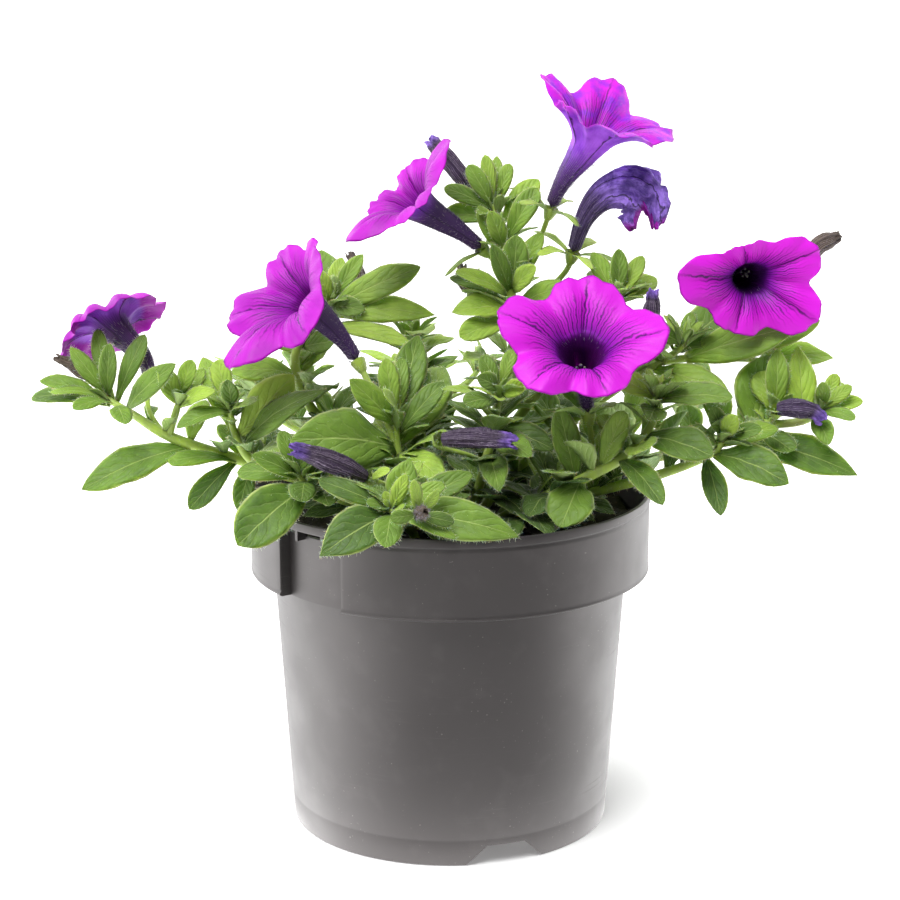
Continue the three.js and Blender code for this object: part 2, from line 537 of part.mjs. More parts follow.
function pot() {
  const collar = RIM_RADIUS - WALL;
  const beyond = RIM_RADIUS + CUT_CLEAR;
  const above = POT_HEIGHT + CUT_CLEAR;
  const recessInside = RECESS_RADIUS - WALL;
  let outside = potOutside();
  let inside = turned([...potCavity(0), [collar, above], [0, above]], POT_SIDES);
  for (const turn of RECESS_TURNS) {
    outside = outside.subtract(ringSlice(
      RECESS_RADIUS, beyond, turn, RECESS_WIDTH, COLLAR_BOTTOM - CUT_CLEAR, STRAP_BOTTOM));
    inside = inside.subtract(ringSlice(
      recessInside, beyond, turn, RECESS_WIDTH + 2 * RECESS_WALL_TURN, COLLAR_BOTTOM, RECESS_TOP));
  }
  let shell = outside.subtract(inside);
  for (const turn of RECESS_TURNS) {
    for (const side of RIB_TURNS) {
      shell = shell.add(ringSlice(
        recessInside + JOIN, collar + JOIN, turn + side, RIB_WIDTH,
        RECESS_TOP - 2 * JOIN, STRAP_BOTTOM + JOIN));
    }
  }
  return drained(shell);
}

// The raised floor with its central foot, the drainage holes, and the notches in the foot.
function drained(shell) {
  const ring = FOOT_RADIUS - FOOT_RING_WIDTH;
  const under = turned([
    [CENTRE_FOOT_RADIUS, -CUT_CLEAR], [ring, -CUT_CLEAR], [ring, FLOOR_HEIGHT],
    [CENTRE_FOOT_RADIUS, FLOOR_HEIGHT], [CENTRE_FOOT_RADIUS, -CUT_CLEAR],
  ], POT_SIDES);
  let result = shell.subtract(under);
  for (let i = 0; i < DRAIN_HOLES; i++) {
    const turn = radians(NOTCH_TURN + i * 360 / DRAIN_HOLES);
    const hole = new THREE.CylinderGeometry(
      DRAIN_HOLE_RADIUS, DRAIN_HOLE_RADIUS, NOTCH_DEPTH, DRAIN_HOLE_SIDES);
    hole.rotateX(Math.PI / 2);
    hole.translate(DRAIN_HOLE_CIRCLE * Math.cos(turn), DRAIN_HOLE_CIRCLE * Math.sin(turn), 0);
    result = result.subtract(toSolid(hole));
  }
  for (let i = 0; i < NOTCHES; i++) {
    const notch = notchCutter();
    notch.rotateZ(radians(NOTCH_TURN + 90 + i * 360 / NOTCHES));
    result = result.subtract(toSolid(notch));
  }
  return result;
}

function notchCutter() {
  const below = (NOTCH_BOTTOM + CUT_CLEAR) / 2;
  const outline = new THREE.Shape();
  outline.moveTo(-below, -CUT_CLEAR / 2);
  outline.lineTo(below, -CUT_CLEAR / 2);
  outline.lineTo(NOTCH_TOP / 2, NOTCH_HEIGHT);
  outline.lineTo(-NOTCH_TOP / 2, NOTCH_HEIGHT);
  const cutter = new THREE.ExtrudeGeometry(outline, { depth: NOTCH_DEPTH, bevelEnabled: false });
  cutter.rotateX(Math.PI / 2);
  cutter.translate(0, NOTCH_DEPTH - NOTCH_REACH - FOOT_RADIUS, 0);
  return cutter;
}

// ---- Peat ----
function peatHeight(x, y) {
  const small = Math.sin(x * 0.21 + 1) * Math.cos(y * 0.19);
  const wide = Math.sin(x * 0.07 - y * 0.3);
  return PEAT_LEVEL + PEAT_BUMP * (small + wide);
}

function peat(stems) {
  const rim = RIM_RADIUS - WALL - COLLAR_SLOPE - GAP;
  const top = [rim, ...PEAT_RINGS].map((radius) => [radius, PEAT_LEVEL]);
  const points = [...potCavity(GAP), ...top].map(([r, z]) => new THREE.Vector2(r, z));
  const lathe = new THREE.LatheGeometry(points, PEAT_SIDES);
  lathe.rotateX(Math.PI / 2);
  const position = lathe.attributes.position;
  for (let i = 0; i < position.count; i++) {
    if (position.getZ(i) > PEAT_LEVEL - 0.01) {
      position.setZ(i, peatHeight(position.getX(i), position.getY(i)));
    }
  }
  let filling = toSolid(lathe);
  for (const turn of RECESS_TURNS) {
    filling = filling.subtract(ringSlice(
      RECESS_RADIUS - WALL - GAP, RIM_RADIUS, turn, RECESS_WIDTH + 2 * PEAT_RECESS_TURN,
      COLLAR_BOTTOM - CUT_CLEAR, POT_HEIGHT));
  }
  for (const stem of stems) {
    filling = filling.subtract(tube(stem.route(ROOT_CLEAR), stem.radius + GAP, STEM_SIDES));
  }
  return filling;
}

// ---- Stems ----
function curveOf(points) {
  return new THREE.CatmullRomCurve3(points, false, 'catmullrom', 0.5);
}

// A short route has a ring halfway along each of its spans too.
function stepsPerSpan(points) {
  return points.length > LONG_ROUTE ? 1 : 2;
}

// The points of a route, and between them, that a tube's rings stand on.
function stations(points) {
  const steps = (points.length - 1) * stepsPerSpan(points);
  const curve = curveOf(points);
  return Array.from({ length: steps + 1 }, (_, k) => curve.getPoint(k / steps));
}

// A tube along a route, its rings carried along it without a twist.
function tube(points, radius, sides) {
  const centres = stations(points);
  let [across] = squareTo(centres[1].clone().sub(centres[0]).normalize());
  const rings = centres.map((centre, k) => {
    const before = centres[Math.max(k - 1, 0)];
    const after = centres[Math.min(k + 1, centres.length - 1)];
    const line = after.clone().sub(before).normalize();
    across = across.clone().addScaledVector(line, -across.dot(line)).normalize();
    const along = line.clone().cross(across);
    return Array.from({ length: sides }, (_, i) => {
      const turn = 2 * Math.PI * i / sides;
      return centre.clone().addScaledVector(across, radius * Math.cos(turn))
        .addScaledVector(along, radius * Math.sin(turn));
    });
  });
  return ringSolid(centres[0], rings, centres[centres.length - 1], evenSlants(rings));
}

function evenSlants(rings) {
  return rings.map(() => false);
}

// Every stem, shoot and stalk by its label, with its node, its curve and its solid.
function growAxes() {
  const axes = new Map();
  for (const [label, node, radius, points] of STEMS) {
    const [x, y] = points[0];
    const root = (deeper) => [[x, y, ROOT_DEPTH - deeper], [x, y, ROOT_STRAIGHT]];
    const route = (deeper) => [...root(deeper), ...points].map(vector);
    axes.set(label, {
      node, radius, route, line: stations(route(0)), first: 2, count: points.length + 1,
      solid: tube(route(0), radius, STEM_SIDES),
    });
  }
  for (const [label, parent, where, radius, points] of SHOOTS) {
    const route = [pointOn(axes.get(parent), where), ...points.map(vector)];
    axes.set(label, {
      node: axes.get(parent).node, radius, line: stations(route), first: 0, count: points.length,
      solid: tube(route, radius, radius > STALK_RADIUS ? SHOOT_SIDES : STALK_SIDES),
    });
  }
  return axes;
}

// The point at a place along an axis, counted in its own route points.
function pointOn(axis, where) {
  const place = (where + axis.first) * (axis.line.length - 1) / axis.count;
  const station = Math.min(Math.floor(place), axis.line.length - 2);
  return axis.line[station].clone().lerp(axis.line[station + 1], place - station);
}

// Where a blade that grows towards a tip leaves an axis: sunk halfway into the stem there.
function rootOn(axis, where, tip) {
  const base = pointOn(axis, where);
  const line = directionOn(axis, where);
  const out = tip.clone().sub(base);
  out.addScaledVector(line, -out.dot(line)).normalize();
  return base.addScaledVector(out, axis.radius * ROOT_SHARE);
}

function directionOn(axis, where) {
  const [a, b] = [pointOn(axis, where - 0.05), pointOn(axis, where)];
  return b.sub(a).normalize();
}

// ---- Leaves ----
// Two directions square to one another and to the given one.
function squareTo(direction) {
  const side = Math.abs(direction.z) > 0.95 ? new THREE.Vector3(1, 0, 0) : UP;
  const across = side.clone().cross(direction).normalize();
  return [across, direction.clone().cross(across)];
}

// The direction at a turn in degrees about a line.
function outFrom(line, turn) {
  const [across, along] = squareTo(line);
  return across.multiplyScalar(Math.cos(turn)).addScaledVector(along, Math.sin(turn));
}

function handLeaves(axes) {
  return LEAVES.map(([label, where, tip, width, turn]) => ({
    node: axes.get(label).node,
    base: rootOn(axes.get(label), where - TIP_ROOT, vector(tip)),
    tip: vector(tip),
    width,
    face: new THREE.Vector3(0, -turn, 1 - turn * 0.7),
  }));
}

function rosetteLeaves(axes) {
  const leaves = [];
  for (const [label, count, first, length, width, lift] of ROSETTES) {
    const axis = axes.get(label);
    const end = axis.count - axis.first;
    const heart = directionOn(axis, end).addScaledVector(UP, ROSETTE_UPRIGHT).normalize();
    for (let i = 0; i < count; i++) {
      const inner = i / count;
      const rise = radians(lift + (ROSETTE_LIFT - lift) * inner);
      const reach = length * (1 - ROSETTE_SHORTEN * inner);
      const where = end - TIP_ROOT - ROSETTE_DEPTH * (1 - inner);
      const out = outFrom(heart, radians(first + i * SPIRAL));
      const tip = pointOn(axis, where).addScaledVector(out, reach * Math.cos(rise))
        .addScaledVector(heart, reach * Math.sin(rise));
      leaves.push({
        node: axis.node, base: rootOn(axis, where, tip), tip,
        width: width * (1 - ROSETTE_NARROW * inner), face: heart,
      });
    }
  }
  return leaves;
}

function runLeaves(axes) {
  const leaves = [];
  for (const [label, from, to, count, first, length, width] of RUNS) {
    const axis = axes.get(label);
    for (let i = 0; i < count; i++) {
      const where = from + (to - from) * (i + 0.5) / count;
      const out = outFrom(directionOn(axis, where), radians(first + i * SPIRAL));
      out.z = Math.abs(out.z) * RUN_LEVEL + RUN_LIFT;
      out.normalize();
      const tip = pointOn(axis, where).addScaledVector(out, length);
      leaves.push({ node: axis.node, base: rootOn(axis, where, tip), tip, width, face: UP });
    }
  }
  return leaves;
}

// The leaf swung and lifted about its base by some degrees, and scaled.
function bent(leaf, [swing, lift, scale]) {
  const out = leaf.tip.clone().sub(leaf.base);
  out.applyAxisAngle(UP, radians(swing));
  const [across] = squareTo(out.clone().normalize());
  out.applyAxisAngle(across, radians(-lift)).multiplyScalar(scale);
  return { ...leaf, tip: leaf.base.clone().add(out), width: leaf.width * scale };
}

// One arched blade, folded along its midrib if it is broad. The guard makes it thicker and
// wider by that much, to test what it would touch, and from leaves out the blade's root.
function blade(leaf, guard = 0, from = 0) {
  const out = leaf.tip.clone().sub(leaf.base);
  const length = out.length();
  const along = out.clone().normalize();
  const normal = leaf.face.clone().addScaledVector(along, -leaf.face.dot(along)).normalize();
  const across = along.clone().cross(normal);
  const half = normal.clone().multiplyScalar((BLADE_THICK + guard) / 2);
  const middle = (s) => leaf.base.clone().addScaledVector(out, s)
    .addScaledVector(normal, BLADE_ARCH * length * Math.sin(Math.PI * s));
  const broad = leaf.width >= BROAD_LEAF;
  const rows = (leaf.width < SMALL_LEAF ? SMALL_ROWS : BLADE_ROWS).map(([s, share]) => {
    const reach = leaf.width * share / 2 + guard;
    const edge = middle(s).addScaledVector(normal, broad ? BLADE_FOLD * reach / 2 : 0);
    const spine = middle(s).addScaledVector(normal, broad ? -BLADE_FOLD * reach / 2 : 0);
    const [left, right] = [-reach, reach].map((w) => edge.clone().addScaledVector(across, w));
    return broad ? [left, spine, right] : [left, right];
  });
  const tip = middle(1).addScaledVector(along, guard);
  return bladeSkin(middle(from), rows, tip, half);
}

function bladeSkin(root, rows, tip, half) {
  const line = [root, ...rows.flat(), tip];
  const n = line.length;
  const wide = rows[0].length;
  const firsts = rows.map((row, k) => 1 + k * wide);
  const lasts = firsts.map((first) => first + wide - 1);
  const triangles = [];
  const both = (a, b, c) => triangles.push([a, b, c], [n + a, n + c, n + b]);
  for (let k = 0; k + 1 < wide; k++) {
    both(0, 2 + k, 1 + k);
    firsts.slice(1).forEach((first) => {
      both(first - wide + k, first - wide + k + 1, first + k);
      both(first - wide + k + 1, first + k + 1, first + k);
    });
    both(n - 1 - wide + k, n - wide + k, n - 1);
  }
  const rim = [0, ...lasts, n - 1, ...firsts.reverse()];
  rim.forEach((a, i) => {
    const b = rim[(i + 1) % rim.length];
    triangles.push([a, n + a, b], [b, n + a, n + b]);
  });
  const points = [half, half.clone().negate()].flatMap((h) => line.map((p) => p.clone().add(h)));
  const solid = closedSolid(points, triangles);
  return solid.volume() > 0 ? solid : closedSolid(points, triangles.map(([a, b, c]) => [a, c, b]));
}

// ---- Calyxes ----
function calyx(axis, [, length, opening, first]) {
  const end = axis.count - axis.first;
  const top = pointOn(axis, end);
  const line = directionOn(axis, end);
  const cup = new THREE.CylinderGeometry(CALYX_RADIUS, axis.radius, CALYX_LENGTH, SHOOT_SIDES);
  cup.translate(0, -CALYX_LENGTH / 2, 0);
  cup.applyQuaternion(new THREE.Quaternion().setFromUnitVectors(new THREE.Vector3(0, 1, 0), line));
  cup.translate(top.x, top.y, top.z);
  const sepals = [];
  for (let i = 0; i < SEPALS; i++) {
    const out = outFrom(line, radians(first + 360 * i / SEPALS));
    const base = top.clone().addScaledVector(line, -SEPAL_SUNK)
      .addScaledVector(out, CALYX_RADIUS * SEPAL_ROOT_SHARE);
    const tip = base.clone().addScaledVector(line, length * Math.cos(radians(opening)))
      .addScaledVector(out, length * Math.sin(radians(opening)));
    sepals.push({ node: axis.node, base, tip, width: SEPAL_WIDTH, face: line });
  }
  return { cup: toSolid(cup), sepals };
}

// ---- Blooms ----
// The height of a smooth closed curve through [turn, value] pairs, at a turn in degrees.
function around(pairs, turn) {
  const sorted = [...pairs].sort((a, b) => a[0] - b[0]);
  const next = sorted.findIndex(([at]) => at > turn);
  const [a, b] = next <= 0
    ? [sorted[sorted.length - 1], sorted[0]]
    : [sorted[next - 1], sorted[next]];
  const span = (b[0] - a[0] + 360) % 360;
  const share = ((turn - a[0] + 360) % 360) / span;
  const ease = (1 - Math.cos(Math.PI * share)) / 2;
  return { value: a[1] + (b[1] - a[1]) * ease, notch: Math.sin(Math.PI * share) };
}

// The turns where a bloom's ring has its points: each lobe's midrib and three between.
function bloomTurns(lobes) {
  const ribs = lobes.map(([turn]) => turn).sort((a, b) => a - b);
  return ribs.flatMap((turn, i) => {
    const span = (ribs[(i + 1) % ribs.length] - turn + 360) % 360;
    return Array.from({ length: LOBE_STEPS }, (_, k) => (turn + span * k / LOBE_STEPS) % 360);
  });
}

function bloomTube(axis, throat) {
  const end = axis.count - axis.first;
  const line = directionOn(axis, end);
  const start = pointOn(axis, end).addScaledVector(line, GAP);
  const bend = start.clone().addScaledVector(line, TUBE_BEND * start.distanceTo(throat));
  return new THREE.QuadraticBezierCurve3(start, bend, throat);
}

// Where a lobe's line has got to at a share of its length, as it bends from one angle to
// another away from the bloom's axis: how far out, how far forward, and its angle there.
function alongLobe(lobes, turn, share) {
  const at = (k) => around(lobes.map((lobe) => [lobe[0], lobe[k]]), turn);
  const { value: length, notch } = at(1);
  const [from, to] = [at(2), at(3)].map(({ value }) => radians(value));
  const angle = from + (to - from) * share;
  const turned = length * (1 - NOTCH_SHARE * notch ** NOTCH_SHARPNESS) / (to - from);
  return {
    out: turned * (Math.cos(from) - Math.cos(angle)),
    forward: turned * (Math.sin(angle) - Math.sin(from)),
    angle,
  };
}

// A funnel on a narrow tube, with a limb of five lobes about 0.7 mm thick.
function bloom(axis, [, , throatAt, facing, throatRadius, lobes]) {
  const throat = vector(throatAt);
  const face = vector(facing).normalize();
  const curve = bloomTube(axis, throat);
  const turns = bloomTurns(lobes);
  const right = new THREE.Vector3(1, 0, 0).addScaledVector(face, -face.x).normalize();
  const up = face.clone().cross(right);
  const circle = (centre, normal, radius) => turns.map((turn) => {
    const across = right.clone().addScaledVector(normal, -right.dot(normal)).normalize();
    const along = normal.clone().cross(across);
    return centre.clone().addScaledVector(across, radius * Math.cos(radians(turn)))
      .addScaledVector(along, radius * Math.sin(radians(turn)));
  });
  const limb = (share, below) => turns.map((turn) => {
    const { out, forward, angle } = alongLobe(lobes, turn, share);
    const radius = throatRadius + out + below * Math.cos(angle);
    return throat.clone().addScaledVector(right, radius * Math.cos(radians(turn)))
      .addScaledVector(up, radius * Math.sin(radians(turn)))
      .addScaledVector(face, forward - below * Math.sin(angle));
  });
  const rings = [
    ...TUBE_RINGS.map(([t, radius]) => circle(curve.getPoint(t), curve.getTangent(t), radius)),
    circle(throat.clone().addScaledVector(face, -1), face, throatRadius + 0.5),
    ...LIMB_SHARES.map((share) => limb(share, BLADE_THICK)),
    ...LIMB_SHARES.map((share) => limb(share, 0)).reverse(),
    circle(throat.clone().addScaledVector(face, 0.2), face, throatRadius - 0.6),
  ];
  const slants = rings.map((_, k) => k > LIMB_SHARES.length + TUBE_RINGS.length);
  return ringSolid(curve.getPoint(0), rings, curve.getPoint(THROAT_BOTTOM), slants);
}

// A spent bloom: a shrivelled spindle along its route, crumpled by a formula.
function spent(axis, [, , radii, points]) {
  const end = axis.count - axis.first;
  const line = directionOn(axis, end);
  const start = pointOn(axis, end).addScaledVector(line, GAP);
  const curve = curveOf([start, ...points.map(vector)]);
  const steps = radii.length;
  const rings = radii.map((radius, k) => {
    const t = k / steps;
    const [across, along] = squareTo(k ? curve.getTangent(t) : line);
    return Array.from({ length: SPENT_SIDES }, (_, i) => {
      const turn = 2 * Math.PI * i / SPENT_SIDES;
      const crumple = radius * (1 + (k ? SPENT_CRUMPLE : 0) * Math.sin(turn * 3 + k * 2));
      return curve.getPoint(t).addScaledVector(across, crumple * Math.cos(turn))
        .addScaledVector(along, crumple * Math.sin(turn));
    });
  });
  return ringSolid(start, rings, curve.getPoint(1), evenSlants(rings));
}

// ---- Placing ----
function boxesMeet(a, b) {
  return [0, 1, 2].every((i) => a.min[i] < b.max[i] && b.min[i] < a.max[i]);
}

// Whether a solid is clear of each placed piece that the test picks.
function isClear(solid, placed, picks) {
  const box = solid.boundingBox();
  return placed.every((piece) => !picks(piece) || !boxesMeet(box, piece.box)
    || solid.intersect(piece.solid).isEmpty());
}

function place(placed, node, solid, blades = false) {
  placed.push({ node, solid, box: solid.boundingBox(), blades });
}

// Each leaf is placed at the first bend where it meets no other node and no leaf of its own
// node, or else where it meets no other node. A leaf with no such bend is left out.
function placeLeaves(placed, leaves) {
  for (const leaf of leaves) {
    const tried = BENDS.map((bend) => bent(leaf, bend)).filter((option) => {
      const guard = blade(option, BLADE_GUARD);
      return isClear(guard, placed, (piece) => piece.node !== leaf.node);
    });
    const apart = tried.find((option) => isClear(
      blade(option, 0, BLADE_FOOT), placed, (piece) => piece.node === leaf.node && piece.blades));
    const chosen = apart ?? tried[0];
    if (chosen) {
      place(placed, leaf.node, blade(chosen), true);
    }
  }
}

function build() {
  const group = new THREE.Group();
  const axes = growAxes();
  const placed = [];
  const stems = STEMS.map(([label]) => axes.get(label));
  const fixed = [['pot', fuse([pot()]), PLASTIC], ['peat', fuse([peat(stems)]), PEAT]];
  fixed.forEach(([name, solid]) => place(placed, name, solid));
  axes.forEach((axis) => place(placed, axis.node, axis.solid));
  const flowers = [
    ...BLOOMS.map((row) => [row[0], bloom(axes.get(row[1]), row), PURPLE]),
    ...SPENT.map((row) => [row[0], spent(axes.get(row[1]), row), DARK_PURPLE]),
  ];
  flowers.forEach(([name, solid]) => place(placed, name, solid));
  for (const row of CALYXES) {
    const { cup, sepals } = calyx(axes.get(row[0]), row);
    place(placed, axes.get(row[0]).node, cup);
    placeLeaves(placed, sepals);
  }
  placeLeaves(placed, handLeaves(axes));
  placeLeaves(placed, rosetteLeaves(axes));
  placeLeaves(placed, runLeaves(axes));
  for (const [name, solid, material] of [...fixed, ...flowers]) {
    group.add(toMesh(name, solid, material));
  }
  for (const [, node] of STEMS) {
    const pieces = placed.filter((piece) => piece.node === node).map((piece) => piece.solid);
    group.add(toMesh(node, fuse(pieces), GREEN));
  }
  return group;
}

const group = build();
export default group;
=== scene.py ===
# %% [markdown]
# A petunia in a round nursery pot, dressed for its close-up. The solids from the CAD step are
# loaded as a fixed frame in metres. Each of them is then replaced by a finer piece in the same
# place: a smooth pot, crumbly peat, leaves with veins, flowers with ruffled lobes, withered
# flowers, and the fine hairs that cover a petunia. The frame comes first because everything
# else is placed by it.

# %% Load the frame
import math
import random

import bmesh
import bpy
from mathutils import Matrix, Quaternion, Vector, noise as folds_noise
from mathutils.kdtree import KDTree


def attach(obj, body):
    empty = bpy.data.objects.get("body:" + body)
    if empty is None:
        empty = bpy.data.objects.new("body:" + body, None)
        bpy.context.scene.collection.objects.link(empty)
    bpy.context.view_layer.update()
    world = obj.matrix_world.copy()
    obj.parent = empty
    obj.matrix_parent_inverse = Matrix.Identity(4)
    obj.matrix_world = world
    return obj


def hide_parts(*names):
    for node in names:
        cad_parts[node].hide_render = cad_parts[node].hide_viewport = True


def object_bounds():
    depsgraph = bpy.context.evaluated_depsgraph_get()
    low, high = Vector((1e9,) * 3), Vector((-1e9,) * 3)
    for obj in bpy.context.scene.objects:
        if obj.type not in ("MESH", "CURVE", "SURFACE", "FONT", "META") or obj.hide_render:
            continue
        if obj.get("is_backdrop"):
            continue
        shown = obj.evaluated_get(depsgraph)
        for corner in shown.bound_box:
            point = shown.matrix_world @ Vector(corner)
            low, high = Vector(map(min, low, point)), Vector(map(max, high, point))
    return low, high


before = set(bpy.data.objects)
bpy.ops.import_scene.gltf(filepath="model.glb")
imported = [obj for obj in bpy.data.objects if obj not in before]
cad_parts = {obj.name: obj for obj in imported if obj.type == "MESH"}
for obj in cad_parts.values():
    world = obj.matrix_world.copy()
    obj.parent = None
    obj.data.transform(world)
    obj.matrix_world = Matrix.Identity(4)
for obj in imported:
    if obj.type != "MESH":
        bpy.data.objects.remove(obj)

cad_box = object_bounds()
print("solids in the frame:", len(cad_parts))

# %% [markdown]
# The camera stands where the picture of the real plant was taken from: three quarters of a
# metre in front of the pot's axis and a little above it, looking slightly down through a long
# lens. A long lens keeps the pot's sides nearly parallel, as they are in the picture. The plain
# view transform keeps the flowers as saturated as they are; the filmic one would turn them pink.

# %% Camera
CAMERA_PLACE = (0, -0.760, 0.303)
CAMERA_TILT = 13.38
LENS_MM = 96.64

camera = bpy.data.objects.new("camera", bpy.data.cameras.new("camera"))
bpy.context.collection.objects.link(camera)
camera.location = CAMERA_PLACE
camera.rotation_euler = (math.radians(90 - CAMERA_TILT), 0, 0)
camera.data.lens = LENS_MM
bpy.context.scene.camera = camera
bpy.context.scene.view_settings.view_transform = "Standard"
print("camera looks down by", CAMERA_TILT, "degrees")

# %% [markdown]
# The planting list. A plant is easiest to describe as its gardener would: which shoots leave the
# soil, which side shoots and flower stalks they carry, and where each larger leaf and flower
# ends. The same rows shaped the solids, in millimetres, so a leaf made here lands on its solid.
# A row is a line of words: names, numbers, and points or other groups joined by commas. It goes
# on in the next line where that one is indented.

# %% Main stems: label, radius, route from the peat to the tip
MM = 0.001


def plant_list(text):
    """The rows of a list, with numbers and groups of numbers as numbers."""
    def value(word):
        if word[0].isalpha():
            return word
        numbers = [float(number) for number in word.split(",")]
        return numbers if "," in word else numbers[0]
    lines = text.replace("\n ", " ").split("\n")
    return [[value(word) for word in line.split()] for line in lines if line]


STEMS = plant_list("""
left 2 -15,-3,101 -38,-6,113 -64,-8,120 -88,-12,129 -101,-12,137 -110,-10,142
left_mid 1.8 -11,-12,101 -35,-17,113 -60,-17,121 -68,-17,132 -69,-16,142
upper_left 1.8 -10,6,101 -24,6,118 -44,4,134 -50,5,152 -42,9,164 -37,11,171
centre_left 1.9 -4,-14,101 -10,-23,113 -16,-24,126 -17,-22,141
front 1.7 -2,-25,101 -10,-42,111 -16,-55,116 -18,-61,118
top 2 3,3,101 12,3,122 18,2,145 21,0,162 19,0,176 17,3,190 13,6,204
centre 1.7 6,-11,101 10,-20,118 14,-24,136 16,-24,149
front_right 1.9 12,-18,101 30,-28,114 42,-32,121 56,-31,129 64,-28,140 64,-26,148
right 1.8 17,-7,101 42,-15,111 66,-20,119 82,-25,127 86,-26,134
far_right 1.9 18,4,101 46,0,114 74,-5,123 98,-9,130 105,-10,139
right_back 1.9 12,13,101 34,14,124 56,9,142 70,3,152 76,0,158
centre_back 1.8 3,14,101 22,12,130 40,4,154 50,-4,167 54,-8,174
left_low 1.7 -12,-22,101 -28,-29,111 -42,-34,118 -48,-36,124
back_left 1.9 -15,15,101 -34,26,115 -56,35,124 -70,42,134
back 1.8 -4,23,101 -8,42,116 -12,60,126 -14,70,136
back_right 1.8 10,24,101 26,40,115 44,52,124 56,60,134
back_top 1.7 -7,14,101 -14,24,122 -16,28,142 -12,30,156
back_far 1.8 21,13,101 46,24,113 70,32,121 86,38,131
""")
# %% Side shoots and flower stalks: label, parent, where along it, radius, route
SHOOTS = plant_list("""
left_side left 3.1 1.3 -87,-14,137 -85,-15,143
left_stalk left 3.3 0.9 -96,-9,138 -96,-5,146
left_spent_stalk left 4.8 0.8 -111,-8,145 -114,-8,148
upper_left_spent_stalk upper_left 4.6 0.8 -34,15,167 -31,18,171
left_centre_stalk centre_left 1.9 1.1 -20,-23,137 -26,-17,149 -29,-14,154
front_left_spent_stalk centre_left 0.9 0.9 -13,-34,117 -20,-44,122 -25,-49,125
front_bud_stalk front 2.6 0.9 -12,-63,118 -9,-68,119
top_stalk top 3.9 0.9 25,4,181 29,5,191 32,4,200
upper_left_centre_stalk top 4.3 0.9 14,1,184 10,-1,188
wilted_stalk top 3.3 1 30,3,173 37,4,180 39,3,186
top_spent_stalk top 5.4 0.8 11,7,202 7,8,205
shaded_spent_stalk top 3.4 0.8 12,10,170 7,13,172
centre_spent_stalk centre 1.3 0.8 5,-30,128 -4,-36,132 -3,-40,135
front_stalk front_right 2.1 1 44,-28,131 43,-26,140
right_stalk right_back 3.4 0.9 82,8,157 88,20,166 91,25,172 91,20,174
right_back_side right_back 2.9 1.4 84,4,152 103,3,151
right_back_spent_stalk right_back_side 1.9 0.8 111,7,166 114,9,181
far_right_tip far_right 3.3 1.5 112,-10,134 119,-10,139
far_right_spent_stalk far_right 3.7 0.8 103,-14,137 103,-16,139
behind_bud_stalk centre_back 2.9 0.8 57,-12,164 62,-15,166
back_left_side back_left 1.8 1.3 -52,46,128 -50,52,136
back_side back 1.9 1.3 4,62,130 12,66,138
back_right_side back_right 1.6 1.3 50,40,130 56,36,138
""")
